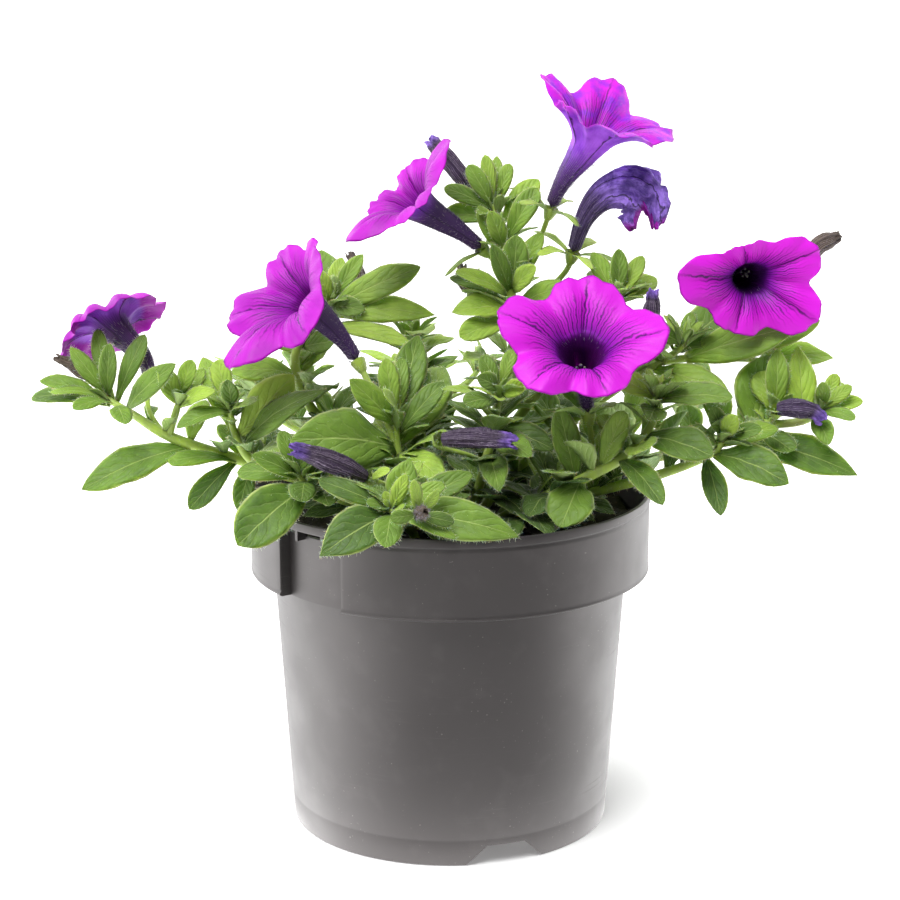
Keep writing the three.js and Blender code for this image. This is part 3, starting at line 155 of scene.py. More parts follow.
# %% Leaves listed one by one: shoot, then for each leaf: where along it, tip, width, turn to the front
LEAVES = plant_list("""
left 2.9,-116,-22,114,13,0.5 4.3,-86,-22,155,8,0.8 2.3,-89,-21,123,7,0.4 2.3,-83,-17,107,8,0.8
left 2.1,-67,-20,107,7,0.8 2.2,-75,2,130,6,0.4 4.7,-97,-4,161,7,0.8 5,-113,0,161,6,0.9
left 5,-107,-14,160,6,0.9 5,-120,-10,158,6,0.8 4.9,-129,-14,149,6,0.5 4.8,-134,-6,142,7,0.5
left 5,-125,-21,143,6,0.4 4.8,-117,-27,142,6,0.4 4.6,-101,-27,137,7,0.5
left_side 1.8,-78,-8,151,6,0.8 2,-81,-16,155,6,0.9 1.8,-91,-23,152,7,0.6 1.6,-74,-22,147,6,0.6
left_mid 3.8,-87,-24,144,8,0.4 4,-73,-16,155,7,0.9 4,-69,-26,151,6,0.6 3.7,-61,-30,145,7,0.5
left_mid 3.2,-79,-2,153,10,0.5 3,-55,-20,154,13,1 2.8,-40,-28,149,11,0.6 2.4,-46,-32,131,10,0.4
upper_left 5,-35,14,183,6,0.9 4.9,-43,6,180,6,0.9 5,-28,13,184,6,0.8 4.8,-18,10,178,8,0.7
upper_left 4.5,-9,5,181,11,0.8 4.3,-5,0,167,10,0.6 4.4,-42,24,184,14,1 4.7,-27,0,168,7,0.9
upper_left 3.9,-12,-7,158,7,0.5 3.4,-37,1,158,8,0.8 2.8,-70,-1,149,10,0.5 3.2,-62,18,160,10,0.5
centre_left 2.8,-31,-31,152,9,0.8 3,-20,-23,157,7,0.9 3,-15,-16,156,6,0.9 2.9,-9,-13,153,8,0.8
centre_left 2.8,-8,-2,158,11,0.9 2.6,-2,-20,149,8,0.7 2.3,-47,-44,137,20,0.7 2.4,1,-6,157,14,1
centre_left 2.2,-2,-45,123,11,0.5 2.7,-24,-38,146,8,0.5
front 2.7,-38,-75,109,15,0.7 2.6,-12,-55,133,10,1 3,-13,-64,130,5,0.9 2.9,-2,-64,127,6,0.8
front 3,0,-73,117,6,0.6 2.3,21,-63,119,13,0.7 2,7,-49,127,9,0.8 3,-19,-78,111,9,0.7
front 2.5,-35,-55,129,7,0.8 2.6,-41,-58,122,7,0.7
top 4,21,-8,193,9,1 4,13,-12,191,6,0.9 3.9,2,-8,182,7,0.6 3.8,0,2,179,7,0.6 3.6,1,-10,170,10,0.6
top 3.3,3,-14,162,9,0.6 4,26,-11,187,7,0.8 4.1,32,-5,191,7,0.7 3.6,37,-8,178,8,0.6
top 3.2,42,8,172,9,0.6 4.7,5,0,199,6,0.8 4.9,13,-6,200,6,0.9 6,11,6,217,5,0.9 6,15,11,216,5,0.9
top 5.9,6,3,214,6,0.9 5.8,0,3,210,6,0.7 5.6,0,-1,203,7,0.7 5.9,19,8,214,5,0.9 5.1,31,0,204,8,0.8
top 5.5,27,11,209,8,0.7
centre 3,10,-23,158,6,0.9 3,17,-21,160,5,0.9 3,9,-32,153,6,0.8 2.7,5,-35,146,8,0.6
centre 2.9,24,-31,150,6,0.8 1.9,25,-44,130,10,0.6 1.6,15,-50,121,9,0.7 2.1,33,-32,134,9,0.6
front_right 2,34,-50,111,15,0.8 1.9,34,-29,143,9,1 2.5,53,-38,143,8,0.9 4.7,87,-34,147,11,0.5
front_right 4.8,51,-28,153,8,0.8 3.6,80,-44,131,14,0.6 3.2,60,-48,130,11,0.6 2.9,64,-56,119,9,0.6
front_right 4.4,61,-41,142,9,0.7
right 3.2,104,-40,122,13,0.6 3,83,-44,112,8,0.7 3.6,103,-22,135,9,0.6 4,81,-30,143,6,0.8
right 4,88,-36,142,6,0.8 3.9,96,-33,137,6,0.7 3.6,74,-34,136,8,0.6
far_right 3.1,103,2,154,20,1 4,104,-7,157,8,1 3.9,97,-2,147,9,0.9 2.9,129,-18,118,13,0.6
far_right 3.2,108,-22,127,8,0.7
far_right_tip 1.2,111,-2,157,10,1 2,123,-8,149,5,0.9 2,127,-12,146,5,0.8 2,131,-11,141,6,0.6
far_right_tip 1.9,129,-17,137,6,0.5 2,117,-17,148,5,0.8 1.6,119,-22,130,7,0.6 1.8,127,2,145,7,0.6
right_back 3.6,92,8,169,14,0.8 2.8,88,-14,143,11,0.7 3.9,60,-4,164,8,0.7 3.2,66,-12,160,8,0.7
right_back_side 0.6,112,-8,157,14,0.9 1.5,118,0,165,9,0.8 2,124,6,152,10,0.6
centre_back 3.8,45,-2,187,7,0.8 4,53,-2,188,6,0.9 4,61,-3,186,6,0.8 3.6,66,4,178,8,0.5
left_low 2.4,-64,-59,107,17,0.7 3,-52,-37,137,6,0.8 2.9,-60,-43,131,7,0.7 2.6,-45,-52,119,9,0.6
left_low 3,-44,-42,134,6,0.7 2.8,-66,-34,124,8,0.6 2,-37,-50,121,9,0.6
""")
# %% Rosettes at the tips: shoot, leaves, first turn, length, width, lift
ROSETTES = plant_list("""
left_side 2 20 10 4.5 40
left_mid 2 100 11 5 35
upper_left 2 30 13 6 35
front 3 200 10 5 30
top 2 80 11 5 30
centre 3 10 11 5 30
front_right 5 50 13 6 30
right 3 60 11 5.5 30
far_right 3 0 12 6 30
far_right_tip 2 90 10 5 30
right_back 6 10 15 6.5 30
centre_back 4 140 12 6 30
left_low 2 90 11 6 30
back_left 6 0 18 7 20
back_left_side 4 60 15 6 25
back 5 20 18 7 20
back_side 4 0 15 6 25
back_right 5 40 18 7 20
back_right_side 4 80 15 6 25
back_top 6 10 17 7 25
back_far 5 70 18 7 20
""")
# %% Leaves up a stem: shoot, from, to, number, first turn, length, width
RUNS = plant_list("""
left 0.7 2 2 70 19 9
left_mid 0.8 2 2 200 18 9
upper_left 0.8 3 4 120 22 11
centre_left 0.7 1.8 2 160 18 9
top 1.2 3.2 5 40 22 11
centre 0.8 2.2 2 100 18 9
front_right 0.7 2.6 3 30 20 9
right 0.8 2.8 3 80 20 9
far_right 0.8 2.8 4 10 22 11
right_back 0.8 2.8 4 60 22 11
centre_back 0.8 3 4 0 21 9
back_left 0.5 2.7 5 130 24 13
back 0.5 2.7 5 10 24 13
back_right 0.5 2.7 5 50 24 13
back_top 0.7 2.7 5 90 22 12
back_far 0.5 2.7 5 0 24 13
""")
# %% Open blooms: name, stalk, throat, facing, throat radius, lobes (turn, length, two angles)
BLOOMS = plant_list("""
bloom_top top_stalk 43.5,-1,220 0.33,-0.1,0.94 5 20,25,20,100 84,25,20,60 155,24,20,80
  215,15,20,60 288,24,25,95
bloom_upper_left upper_left_centre_stalk -9,-6,201.5 -0.66,-0.25,0.7 4.4 352,23,20,95 85,13,15,75
  148,14,15,80 212,25,15,105 285,15,15,110
bloom_left left_centre_stalk -44,-18,173 -0.72,-0.42,0.55 4.6 12,20,20,75 100,17,20,80
  176,23,20,85 241,33,20,95 292,26,20,122
bloom_front front_stalk 40,-40,161 0.02,-0.54,0.84 6.2 85,21,30,85 165,24,30,90 228,22,30,120
  288,17,30,125 358,23,30,88
bloom_right right_stalk 94,-8,180 0.12,-0.97,-0.1 4.4 108,12,20,75 28,20,40,90 328,21.5,40,90
  251,14.5,35,90 170,23,40,90
bloom_far_left left_stalk -108,1,162 -0.4,0.62,0.68 4.4 37,18,40,100 95,19,40,110 174,17,40,160
  236,17,40,165 300,17,40,160
""")
# %% Spent blooms and buds: name, stalk, thickness along it, route
SPENT = plant_list("""
bloom_wilted wilted_stalk 2,3,4.6,5.8,6.4,5.4 43,1,198 49,1,205 57,0,207 62,-1,202 63,-2,194
spent_bloom_front_left front_left_spent_stalk 2,3.4,3.6,2.6 -33,-53,130 -41,-56,134 -48,-58,137
spent_bloom_centre centre_spent_stalk 2,3,3.2,2.4 5,-42,136 13,-43,136 21,-43,135
spent_bloom_upper_left upper_left_spent_stalk 2,2.8,2.6,1.8 -30,19,177 -33,20,184
spent_bloom_top top_spent_stalk 2,3,2.8,1.8 2,8,212 -4,8,219 -7,8,222
spent_bloom_shaded shaded_spent_stalk 1.8,2.3,2,1.4 4,14,176 4,14,181
spent_bloom_far_right far_right_spent_stalk 2,3,3.4,2.6 108,-18,140 114,-18,139 118,-19,136
spent_bloom_right right_back_spent_stalk 2,2.8,2.8,1.8 118,10,187 123,12,189 126,13,190
spent_bloom_far_left left_spent_stalk 2,3,2.8,1.8 -119,-9,152 -125,-11,155
bud_behind behind_bud_stalk 1.9,2.9,3,2.2 63,-17,172 63,-18,178
bud_front front_bud_stalk 1.7,2.2,1.8,1.2 -8,-73,121 -7,-77,122
""")
# %% Calyxes: stalk, sepal length, opening in degrees, first turn
CALYXES = plant_list("""
top_stalk 15 58 10
upper_left_centre_stalk 13 52 30
left_centre_stalk 15 42 0
front_stalk 12 62 20
right_stalk 13 55 40
left_stalk 13 50 60
wilted_stalk 14 56 15
front_left_spent_stalk 12 44 0
centre_spent_stalk 11 46 30
upper_left_spent_stalk 10 36 0
top_spent_stalk 10 38 50
shaded_spent_stalk 9 40 20
far_right_spent_stalk 11 44 10
right_back_spent_stalk 10 40 0
left_spent_stalk 11 42 30
behind_bud_stalk 11 38 0
front_bud_stalk 9 46 40
""")
# %% How far a leaf was bent clear of its neighbours: swing, lift, scale
BENDS = plant_list("""
0 0 1
0 12 1
0 -12 1
14 0 1
-14 0 1
14 14 1
-14 14 1
14 -14 1
-14 -14 1
0 26 1
28 0 0.95
-28 0 0.95
26 24 0.95
-26 24 0.95
0 -26 0.9
0 0 0.75
0 16 0.75
18 0 0.75
-18 0 0.75
40 10 0.75
-40 10 0.75
0 40 0.7
20 30 0.6
-20 30 0.6
""")
print("planting list:", len(STEMS), "stems,", len(BLOOMS), "open blooms")

# %% [markdown]
# Routes. A shoot is drawn by a few points, and a smooth curve runs through them. The curve here
# is the Catmull-Rom one, the same as in the CAD step: it passes through every point, so that a
# leaf or stalk can be hung on a place counted in route points.

# %% Curves and directions
UP = Vector((0, 0, 1))
FULL_TURN = 2 * math.pi


def route_point(points, t):
    """The point at a share t of a smooth curve through the points."""
    last = len(points) - 1
    k = min(int(last * t), last - 1)
    w = last * t - k
    a, b = points[k], points[k + 1]
    before = points[k - 1] if k else 2 * a - b
    after = points[k + 2] if k + 2 <= last else 2 * b - a
    leave, arrive = (b - before) / 2, (after - a) / 2
    cubic = 2 * a - 2 * b + leave + arrive
    square = 3 * b - 3 * a - 2 * leave - arrive
    return a + leave * w + square * w * w + cubic * w ** 3


def square_to(direction):
    """Two directions square to one another and to the given one."""
    side = Vector((1, 0, 0)) if abs(direction.z) > 0.95 else UP
    across = side.cross(direction).normalized()
    return across, direction.cross(across)


def circle(turn, across, along):
    """The direction at a turn, in radians, round a circle between two directions."""
    return across * math.cos(turn) + along * math.sin(turn)


def round_about(direction, turn):
    return circle(math.radians(turn), *square_to(direction))


print("a quarter of the way round a line up:", *[round(x) for x in round_about(UP, 90)])

# %% Shoots on their routes
ROOT_DEPTH = 84
ROOT_STRAIGHT = 91
LONG_ROUTE = 4


class Shoot:
    """A stem, side shoot or stalk, and the places on it counted in its route points."""

    def __init__(self, node, radius, route, first, count):
        self.node, self.radius, self.route = node, radius, route
        self.first, self.count = first, count
        steps = (len(route) - 1) * (1 if len(route) > LONG_ROUTE else 2)
        self.line = [route_point(route, k / steps) for k in range(steps + 1)]
        self.end = count - first

    def point(self, where):
        place = (where + self.first) * (len(self.line) - 1) / self.count
        k = min(int(place), len(self.line) - 2)
        return self.line[k].lerp(self.line[k + 1], place - k)

    def direction(self, where):
        return (self.point(where) - self.point(where - 0.05)).normalized()

    def tip(self):
        return self.point(self.end), self.direction(self.end)

    def root(self, where, tip):
        """Where a blade that grows towards the tip leaves the shoot."""
        base = self.point(where)
        line = self.direction(where)
        out = tip - base
        out = (out - line * out.dot(line)).normalized()
        return base + out * self.radius / 2


shoots = {}
for label, radius, *points in STEMS:
    x, y, _ = points[0]
    route = [Vector(p) for p in [(x, y, ROOT_DEPTH), (x, y, ROOT_STRAIGHT), *points]]
    shoots[label] = Shoot("leafy_stem_" + label, radius, route, 2, len(points) + 1)
for label, parent, where, radius, *points in SHOOTS:
    route = [shoots[parent].point(where)] + [Vector(p) for p in points]
    shoots[label] = Shoot(shoots[parent].node, radius, route, 0, len(points))
print("shoots and stalks:", len(shoots))

# %% [markdown]
# Every leaf, petal and stalk is a sheet that grew: it has a length and a width. So one helper
# makes them all. It lays out a flat grid with a UV map, and moves each of its points to where
# the plant's own formula puts it. The UV map stays behind on the surface, and the veins are
# painted by it later. A tube is a grid whose two long sides meet, and a merge by distance closes
# the seam. Each sheet also carries one value, its tone, by which a finish can vary from leaf to
# leaf and from flower to flower.

# %% The grown sheet
MERGE = 0.004


def new_mesh():
    bm = bmesh.new()
    bm.loops.layers.uv.new("growth")
    bm.verts.layers.float.new("tone")
    return bm


def grow(bm, columns, rows, place, material=0, tone=0.5, flip=False):
    """A grid of columns by rows, its point at (s, t) moved to place(s, t)."""
    made = bmesh.ops.create_grid(bm, x_segments=columns, y_segments=rows, size=0.5,
                                 calc_uvs=True)["verts"]
    layer = bm.verts.layers.float["tone"]
    for vert in made:
        vert.co = place(vert.co.x + 0.5, vert.co.y + 0.5)
        vert[layer] = tone
    faces = list({face for vert in made for face in vert.link_faces})
    for face in faces:
        face.material_index = material
        face.smooth = True
    if flip:
        bmesh.ops.reverse_faces(bm, faces=faces)


def as_object(bm, name):
    """Turns millimetres into metres and makes the object."""
    bmesh.ops.scale(bm, vec=(MM, MM, MM), verts=bm.verts)
    mesh = bpy.data.meshes.new(name)
    bm.to_mesh(mesh)
    bm.free()
    made = bpy.data.objects.new(name, mesh)
    bpy.context.collection.objects.link(made)
    return made


def dress(piece, materials, nodes=()):
    """Gives a piece its materials, and ties it to the frame."""
    for material in materials:
        piece.data.materials.append(material)
    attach(piece, "root")
    if nodes:
        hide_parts(*nodes)


def finish_piece(bm, name, materials, nodes=(), merge=MERGE):
    """Closes the seams of a mesh and makes the riding object."""
    if merge:
        bmesh.ops.remove_doubles(bm, verts=bm.verts, dist=merge)
        bmesh.ops.dissolve_degenerate(bm, edges=bm.edges, dist=merge / 4)
    dress(as_object(bm, name), materials, nodes)


def ease(low, high, value):
    share = min(1, max(0, (value - low) / (high - low)))
    return share * share * (3 - 2 * share)


print("seams close within", MERGE, "mm")

# %% [markdown]
# Materials are little networks of nodes. They could be wired by hand, link by link, but the
# wiring hides the idea. So a node's output is wrapped as a Value here, and a sum or product of
# values, or a mix of two colours by one, makes the node that computes it. A Network adds the
# nodes that several finishes need. What they share is made once as a node group with named
# sockets, such as the veins of a leaf.

# %% Values that wire themselves
def put(tree, kind, values=None, **settings):
    """A new node, with its settings, and its sockets filled or wired."""
    node = tree.nodes.new(kind)
    for name, value in settings.items():
        setattr(node, name, value)
    for name, value in (values or {}).items():
        if isinstance(value, Value):
            tree.links.new(value.socket, node.inputs[name])
        else:
            node.inputs[name].default_value = value
    return node


class Value:
    def __init__(self, tree, socket):
        self.tree, self.socket = tree, socket

    def math(self, operation, *values, clamp=False):
        node = put(self.tree, "ShaderNodeMath", dict(enumerate(values)), operation=operation,
                   use_clamp=clamp)
        return Value(self.tree, node.outputs[0])

    def __add__(self, other):
        return self.math("ADD", self, other)

    def __sub__(self, other):
        return self.math("SUBTRACT", self, other)

    def __rsub__(self, other):
        return self.math("SUBTRACT", other, self)

    def __mul__(self, other):
        return self.math("MULTIPLY", self, other)

    def __abs__(self):
        return self.math("ABSOLUTE", self)

    def wave(self):
        """A zigzag that is 1 at each whole number and 0 half way."""
        return abs(self.math("FRACT", self) * 2 - 1)

    def clamped(self):
        return self.math("ADD", self, 0, clamp=True)

    def smooth(self, low, high, start=0.0, end=1.0):
        node = put(self.tree, "ShaderNodeMapRange",
                   {0: self, 1: low, 2: high, 3: start, 4: end}, interpolation_type="SMOOTHSTEP")
        return Value(self.tree, node.outputs[0])

    def mix(self, a, b):
        """Colour a where this is 0, and colour b where it is 1."""
        a, b = [colour if isinstance(colour, Value) else (*colour, 1) for colour in (a, b)]
        node = put(self.tree, "ShaderNodeMix", {0: self, 6: a, 7: b}, data_type="RGBA")
        return Value(self.tree, node.outputs[2])

    def ramp(self, *stops):
        node = put(self.tree, "ShaderNodeValToRGB", {0: self})
        elements = node.color_ramp.elements
        while len(elements) < len(stops):
            elements.new(1)
        for element, (place, colour) in zip(elements, stops):
            element.position = place
            element.color = (*colour, 1)
        return Value(self.tree, node.outputs[0])


print("a value can be added to, multiplied, smoothed, and mixed by")


# %% Networks
class Network:
    def __init__(self, tree):
        self.tree = tree

    def value(self, kind, output=0, values=None, **settings):
        return Value(self.tree, put(self.tree, kind, values, **settings).outputs[output])

    def noise(self, scale, detail=3.0, stretch=None):
        """Noise in object space, in metres."""
        where = self.value("ShaderNodeTexCoord", "Object")
        if stretch:
            where = self.value("ShaderNodeMapping", 0, {"Vector": where, "Scale": stretch})
        return self.value("ShaderNodeTexNoise", "Fac",
                          {"Vector": where, "Scale": scale, "Detail": detail})

    def growth(self):
        """How far across and along its sheet a point is."""
        uv = self.value("ShaderNodeUVMap", uv_map="growth")
        parts = put(self.tree, "ShaderNodeSeparateXYZ", {0: uv})
        return Value(self.tree, parts.outputs[0]), Value(self.tree, parts.outputs[1])

    def tone(self):
        return self.value("ShaderNodeAttribute", "Fac", attribute_name="tone")

    def use(self, group, **values):
        """Places a group with its own values, and gives what it puts out, by name."""
        node = put(self.tree, "ShaderNodeGroup", node_tree=group.tree)
        for name, value in values.items():
            node.inputs[name.replace("_", " ")].default_value = value
        return {socket.name: Value(self.tree, socket) for socket in node.outputs}


print("a network can place noise, growth, tone and groups")


# %% Groups and finishes
class Group(Network):
    """A node group with number sockets."""

    def __init__(self, name, inputs, outputs):
        super().__init__(bpy.data.node_groups.new(name, "ShaderNodeTree"))
        sockets = self.tree.interface
        for socket, value in inputs.items():
            made = sockets.new_socket(socket, in_out="INPUT", socket_type="NodeSocketFloat")
            made.default_value = value
        for socket in outputs:
            sockets.new_socket(socket, in_out="OUTPUT", socket_type="NodeSocketFloat")
        source = put(self.tree, "NodeGroupInput")
        self.given = {name: Value(self.tree, source.outputs[name]) for name in inputs}

    def give(self, **values):
        put(self.tree, "NodeGroupOutput", values)


class Finish(Network):
    """A material with a Principled shader, its plain values set on the shader itself."""

    def __init__(self, name, roughness, **sockets):
        self.material = bpy.data.materials.new(name)
        self.material.use_nodes = True
        super().__init__(self.material.node_tree)
        self.shader = self.tree.nodes["Principled BSDF"]
        for socket, value in {"Roughness": roughness, **sockets}.items():
            self.shader.inputs[socket.replace("_", " ")].default_value = value

    def wire(self, name, value):
        self.tree.links.new(value.socket, self.shader.inputs[name])

    def done(self, colour, height=None, strength=0.3, distance=0.0003, roughness=None):
        self.wire("Base Color", colour)
        if height is not None:
            self.wire("Normal", self.value("ShaderNodeBump", 0, {
                "Height": height, "Strength": strength, "Distance": distance}))
        if roughness is not None:
            self.wire("Roughness", roughness)
        return self.material


print("a group gives masks, and a finish ends in a material")

# %% [markdown]
# Leaf veins. A petunia leaf has a sunken, pale midrib and soft side veins that leave it at an
# angle and curve towards the tip, with the skin between them puffed up. The growth map says how
# far across and along the leaf a point is, so the side veins are a wave of the length minus a
# share of the width. The group gives masks for the midrib, the side veins and the margin, and a
# height for the relief; each leaf material colours them its own way.

# %% Leaf vein group
leaf_veins = Group("leaf veins", {"Side veins": 6, "Sweep": 0.42, "Ribs": 0.07},
                   ["Midrib", "Veins", "Margin", "Relief"])
u, v = leaf_veins.growth()
across = abs(u * 2 - 1)
swept = v - across * leaf_veins.given["Sweep"] + leaf_veins.noise(200) * 0.22
crest = (swept * leaf_veins.given["Side veins"]).wave()
side_vein = crest.smooth(0.72, 1) * across.smooth(0.92, 0.5)
midrib = across.smooth(0, leaf_veins.given["Ribs"] * (1 - v * 0.6), 1, 0)
leaf_veins.give(Midrib=midrib, Veins=side_vein, Margin=across.smooth(0.90, 0.97),
                Relief=(1 - crest) * 0.6 - side_vein - midrib)
print("leaf vein group:", len(leaf_veins.tree.nodes), "nodes")

# %% [markdown]
# Leaf and stem finishes. The upper side is a fresh mid green, matt with a slight sheen from its
# down, and lighter at the midrib and the margin; the margin has the pale down's colour, lifted
# further as painted light against the dark shading at the leaf's rim. Leaves differ: the tone
# attribute, one value for each leaf, moves a leaf between a deep green and a light one, and on
# some leaves it carries painted shade. The underside is paler and greyer. Light shines through a
# leaf a little, which the subsurface weight stands for.

# %% Leaf and stem materials
LEAF_DEEP = (0.038, 0.080, 0.007)
LEAF_FRESH = (0.120, 0.212, 0.020)
LEAF_YOUNG = (0.300, 0.430, 0.050)
# LEAF_EDGE: the pale down's colour, lifted further as painted light at the leaf's rim.
LEAF_EDGE = (0.440, 0.560, 0.150)
LEAF_VEIN = (0.360, 0.460, 0.130)
UNDER_DEEP = (0.090, 0.180, 0.035)
UNDER_FRESH = (0.220, 0.310, 0.085)
UNDER_YOUNG = (0.280, 0.420, 0.100)
UNDER_VEIN = (0.340, 0.480, 0.160)
STEM_GREEN = (0.240, 0.330, 0.065)
STEM_TAN = (0.240, 0.225, 0.080)
HAIR_GREEN = (0.42, 0.52, 0.26)
HAIR_PALE = (0.62, 0.68, 0.48)
HAIR_SHADED = (0.14, 0.12, 0.17)
HAIR_GREY = (0.36, 0.33, 0.37)
THIN = {"Subsurface_Weight": 0.15, "Subsurface_Scale": 0.0015,
        "Subsurface_Radius": (0.7, 1.0, 0.2), "Sheen_Weight": 0.06, "Specular_IOR_Level": 0.35}


def leaf_material(name, deep, fresh, young, vein, vein_show):
    leaf = Finish(name, 0.55, **THIN)
    pattern = leaf.use(leaf_veins)
    tone = leaf.noise(190, 4) * 0.5 + leaf.tone() - 0.25
    colour = tone.ramp((0.1, deep), (0.5, fresh), (0.95, young))
    colour = (pattern["Veins"] * vein_show).mix(colour, vein)
    colour = (pattern["Midrib"] * 0.55).mix(colour, vein)
    # The margin: pale down, and painted light against the rim's dark shading.
    colour = (pattern["Margin"] * 0.6).mix(colour, LEAF_EDGE)
    fine = leaf.noise(1500, 2)
    height = leaf.noise(330, 2) * 1.6 + fine * 0.3 + pattern["Relief"] * 0.7
    return leaf.done(colour, height, 0.5, 0.0005, fine.smooth(0.3, 0.7, 0.5, 0.7))


leaf_top = leaf_material("leaf upper side", LEAF_DEEP, LEAF_FRESH, LEAF_YOUNG, LEAF_VEIN, 0.1)
leaf_under = leaf_material("leaf underside", UNDER_DEEP, UNDER_FRESH, UNDER_YOUNG, UNDER_VEIN, 0.3)

stem = Finish("stem skin", 0.5, **THIN)
streak = stem.noise(420, stretch=(1, 1, 0.25))
colour = streak.smooth(0.35, 0.7).mix(STEM_GREEN, LEAF_YOUNG)
colour = stem.noise(60, 2).smooth(0.62, 0.8).mix(colour, STEM_TAN)
stem_skin = stem.done(colour, streak, 0.4)

# Down: pale hairs on the green parts, and darker ones on the flowers.
hair = Finish("down", 0.45, Subsurface_Weight=0.3, Subsurface_Scale=0.001)
varied = hair.noise(900, 1) * 3
down = hair.done(varied.math("FRACT", varied).ramp((0, HAIR_GREEN), (1, HAIR_PALE)))
hair = Finish("down on petals", 0.5)
dark_down = hair.done(hair.noise(900, 1).mix(HAIR_SHADED, HAIR_GREY))
print("leaf, stem and down:", leaf_top.name, leaf_under.name, stem_skin.name, down.name)

# %% [markdown]
# Petal veins. Five strong ribs run out to the middle of the lobes, and between them dark lines
# fan out from the throat and fork as they go, and fade towards the rim. The growth map counts
# the lobes round the flower, so a rib stands at every fifth of the turn. Fine lines are a sharp
# wave of the turn, shaken by noise, and a second, closer wave joins in further out, where a real
# vein has forked. The group is used by the fresh petals inside and outside and by the withered
# ones.

# %% Petal vein group
LOBES = 5
petal_veins = Group("petal veins", {"Fine lines": 9, "Fade from": 0.45, "Fade to": 0.95,
                                    "Shake": 0.12}, ["Rib", "Lines"])
u, v = petal_veins.growth()
given = petal_veins.given
turn = (petal_veins.noise(330, 4) - 0.5) * given["Shake"] + (u * LOBES + 0.5)
off_rib = abs(turn.math("FRACT", turn) - 0.5)
rib = off_rib.smooth(v * -0.012 + 0.013, v * -0.024 + 0.044, 1, 0)


def fan(closer, thin):
    return (turn * (given["Fine lines"] * closer)).wave().smooth(thin, 0.5 + thin / 2)


near = fan(1, 0.70) * v.smooth(given["Fade to"], given["Fade from"])
forked = fan(2, 0.62) * v.smooth(0.45, 0.6) * v.smooth(given["Fade to"], 0.6)
petal_veins.give(Rib=rib, Lines=(near + forked * 0.7).clamped())
print("petal vein group:", len(petal_veins.tree.nodes), "nodes")

# %% [markdown]
# Petal finishes. Inside, the flower is a glowing magenta, near black in the throat. Outside it is
# lavender on the limb and streaked dark purple down the tube. Flowers differ by their tone: from
# 0 to 1 the inside takes more painted shade, in clouds, and from 1 to 2 it turns violet, as on the
# old flower at the top. At a tone of 1 the outside is darkened by painted shade and has a magenta
# outer band, itself darkened, for the flower at the far left whose lobes fold over. Petals are
# velvety: rough and hardly glossy, with a little light shining through.

# %% Petal materials
MAGENTA = (0.490, 0.007, 0.490)
MAGENTA_PALE = (0.520, 0.012, 0.530)
MAGENTA_DEEP = (0.330, 0.004, 0.390)
# MAGENTA_SHADED is painted shade on a flower's inside.
MAGENTA_SHADED = (0.200, 0.003, 0.240)
# FOLD_MAGENTA is the rim's magenta, darkened as painted shade; FOLD_SHADE is painted shade.
FOLD_MAGENTA = (0.230, 0.008, 0.250)
FOLD_SHADE = (0.020, 0.004, 0.050)
OLD_VIOLET = (0.170, 0.014, 0.430)
PETAL_VEIN = (0.050, 0.001, 0.090)
THROAT = (0.010, 0.002, 0.028)
THROAT_EDGE = (0.020, 0.003, 0.060)
THROAT_GLOW = (0.150, 0.003, 0.270)
LAVENDER = (0.390, 0.110, 0.740)
VIOLET = (0.180, 0.028, 0.460)
TUBE_DARK = (0.010, 0.004, 0.020)
TUBE_PALE = (0.055, 0.026, 0.095)
TUBE_VIOLET = (0.130, 0.052, 0.260)
VELVET = {"Subsurface_Weight": 0.12, "Subsurface_Scale": 0.0015,
          "Subsurface_Radius": (1.0, 0.1, 1.0), "Specular_IOR_Level": 0.2}

inside = Finish("petal inside", 0.5, **VELVET)
u, v = inside.growth()
pattern = inside.use(petal_veins)
cloud = inside.noise(110)
reach = cloud * 0.16 + (v - 0.08) + pattern["Lines"] * -0.07
colour = reach.ramp((0.26, THROAT), (0.34, THROAT_EDGE), (0.42, THROAT_GLOW),
                    (0.53, MAGENTA_DEEP), (0.74, MAGENTA), (1.0, MAGENTA_PALE))
tone = inside.tone()
violet = tone.smooth(1, 2)
# Painted shade: up to a tone of 1 the inside darkens in clouds, most on the flowers at the left.
shaded = tone.math("MINIMUM", tone, 1) * cloud.smooth(0.3, 0.7, 0.6, 0.95) - violet * 0.5
colour = shaded.clamped().mix(colour, MAGENTA_SHADED)
colour = (inside.noise(260, 4).smooth(0.35, 0.7) * violet).mix(colour, OLD_VIOLET)
colour = (pattern["Lines"] * v.smooth(1.05, 0.45, 0.15, 0.95)).mix(colour, PETAL_VEIN)
colour = (pattern["Rib"] * v.smooth(1.0, 0.8, 0.2, 0.9)).mix(colour, PETAL_VEIN)
colour = v.smooth(0.975, 1.0, 0, 0.5).mix(colour, MAGENTA_DEEP)
grain = inside.noise(2600, 2)
height = grain * 0.3 - (pattern["Lines"] + pattern["Rib"])
petal_inside = inside.done(colour, height, 0.35, 0.0003, grain.smooth(0.3, 0.7, 0.4, 0.62))

outside = Finish("petal outside", 0.55, **VELVET)
u, v = outside.growth()
pattern = outside.use(petal_veins, Fade_from=0.4)
tone = outside.tone()
violet = tone.smooth(1, 2)
folded = tone.smooth(0.92, 1) - violet
limb = outside.noise(120).smooth(0.3, 0.7).mix(LAVENDER, VIOLET)
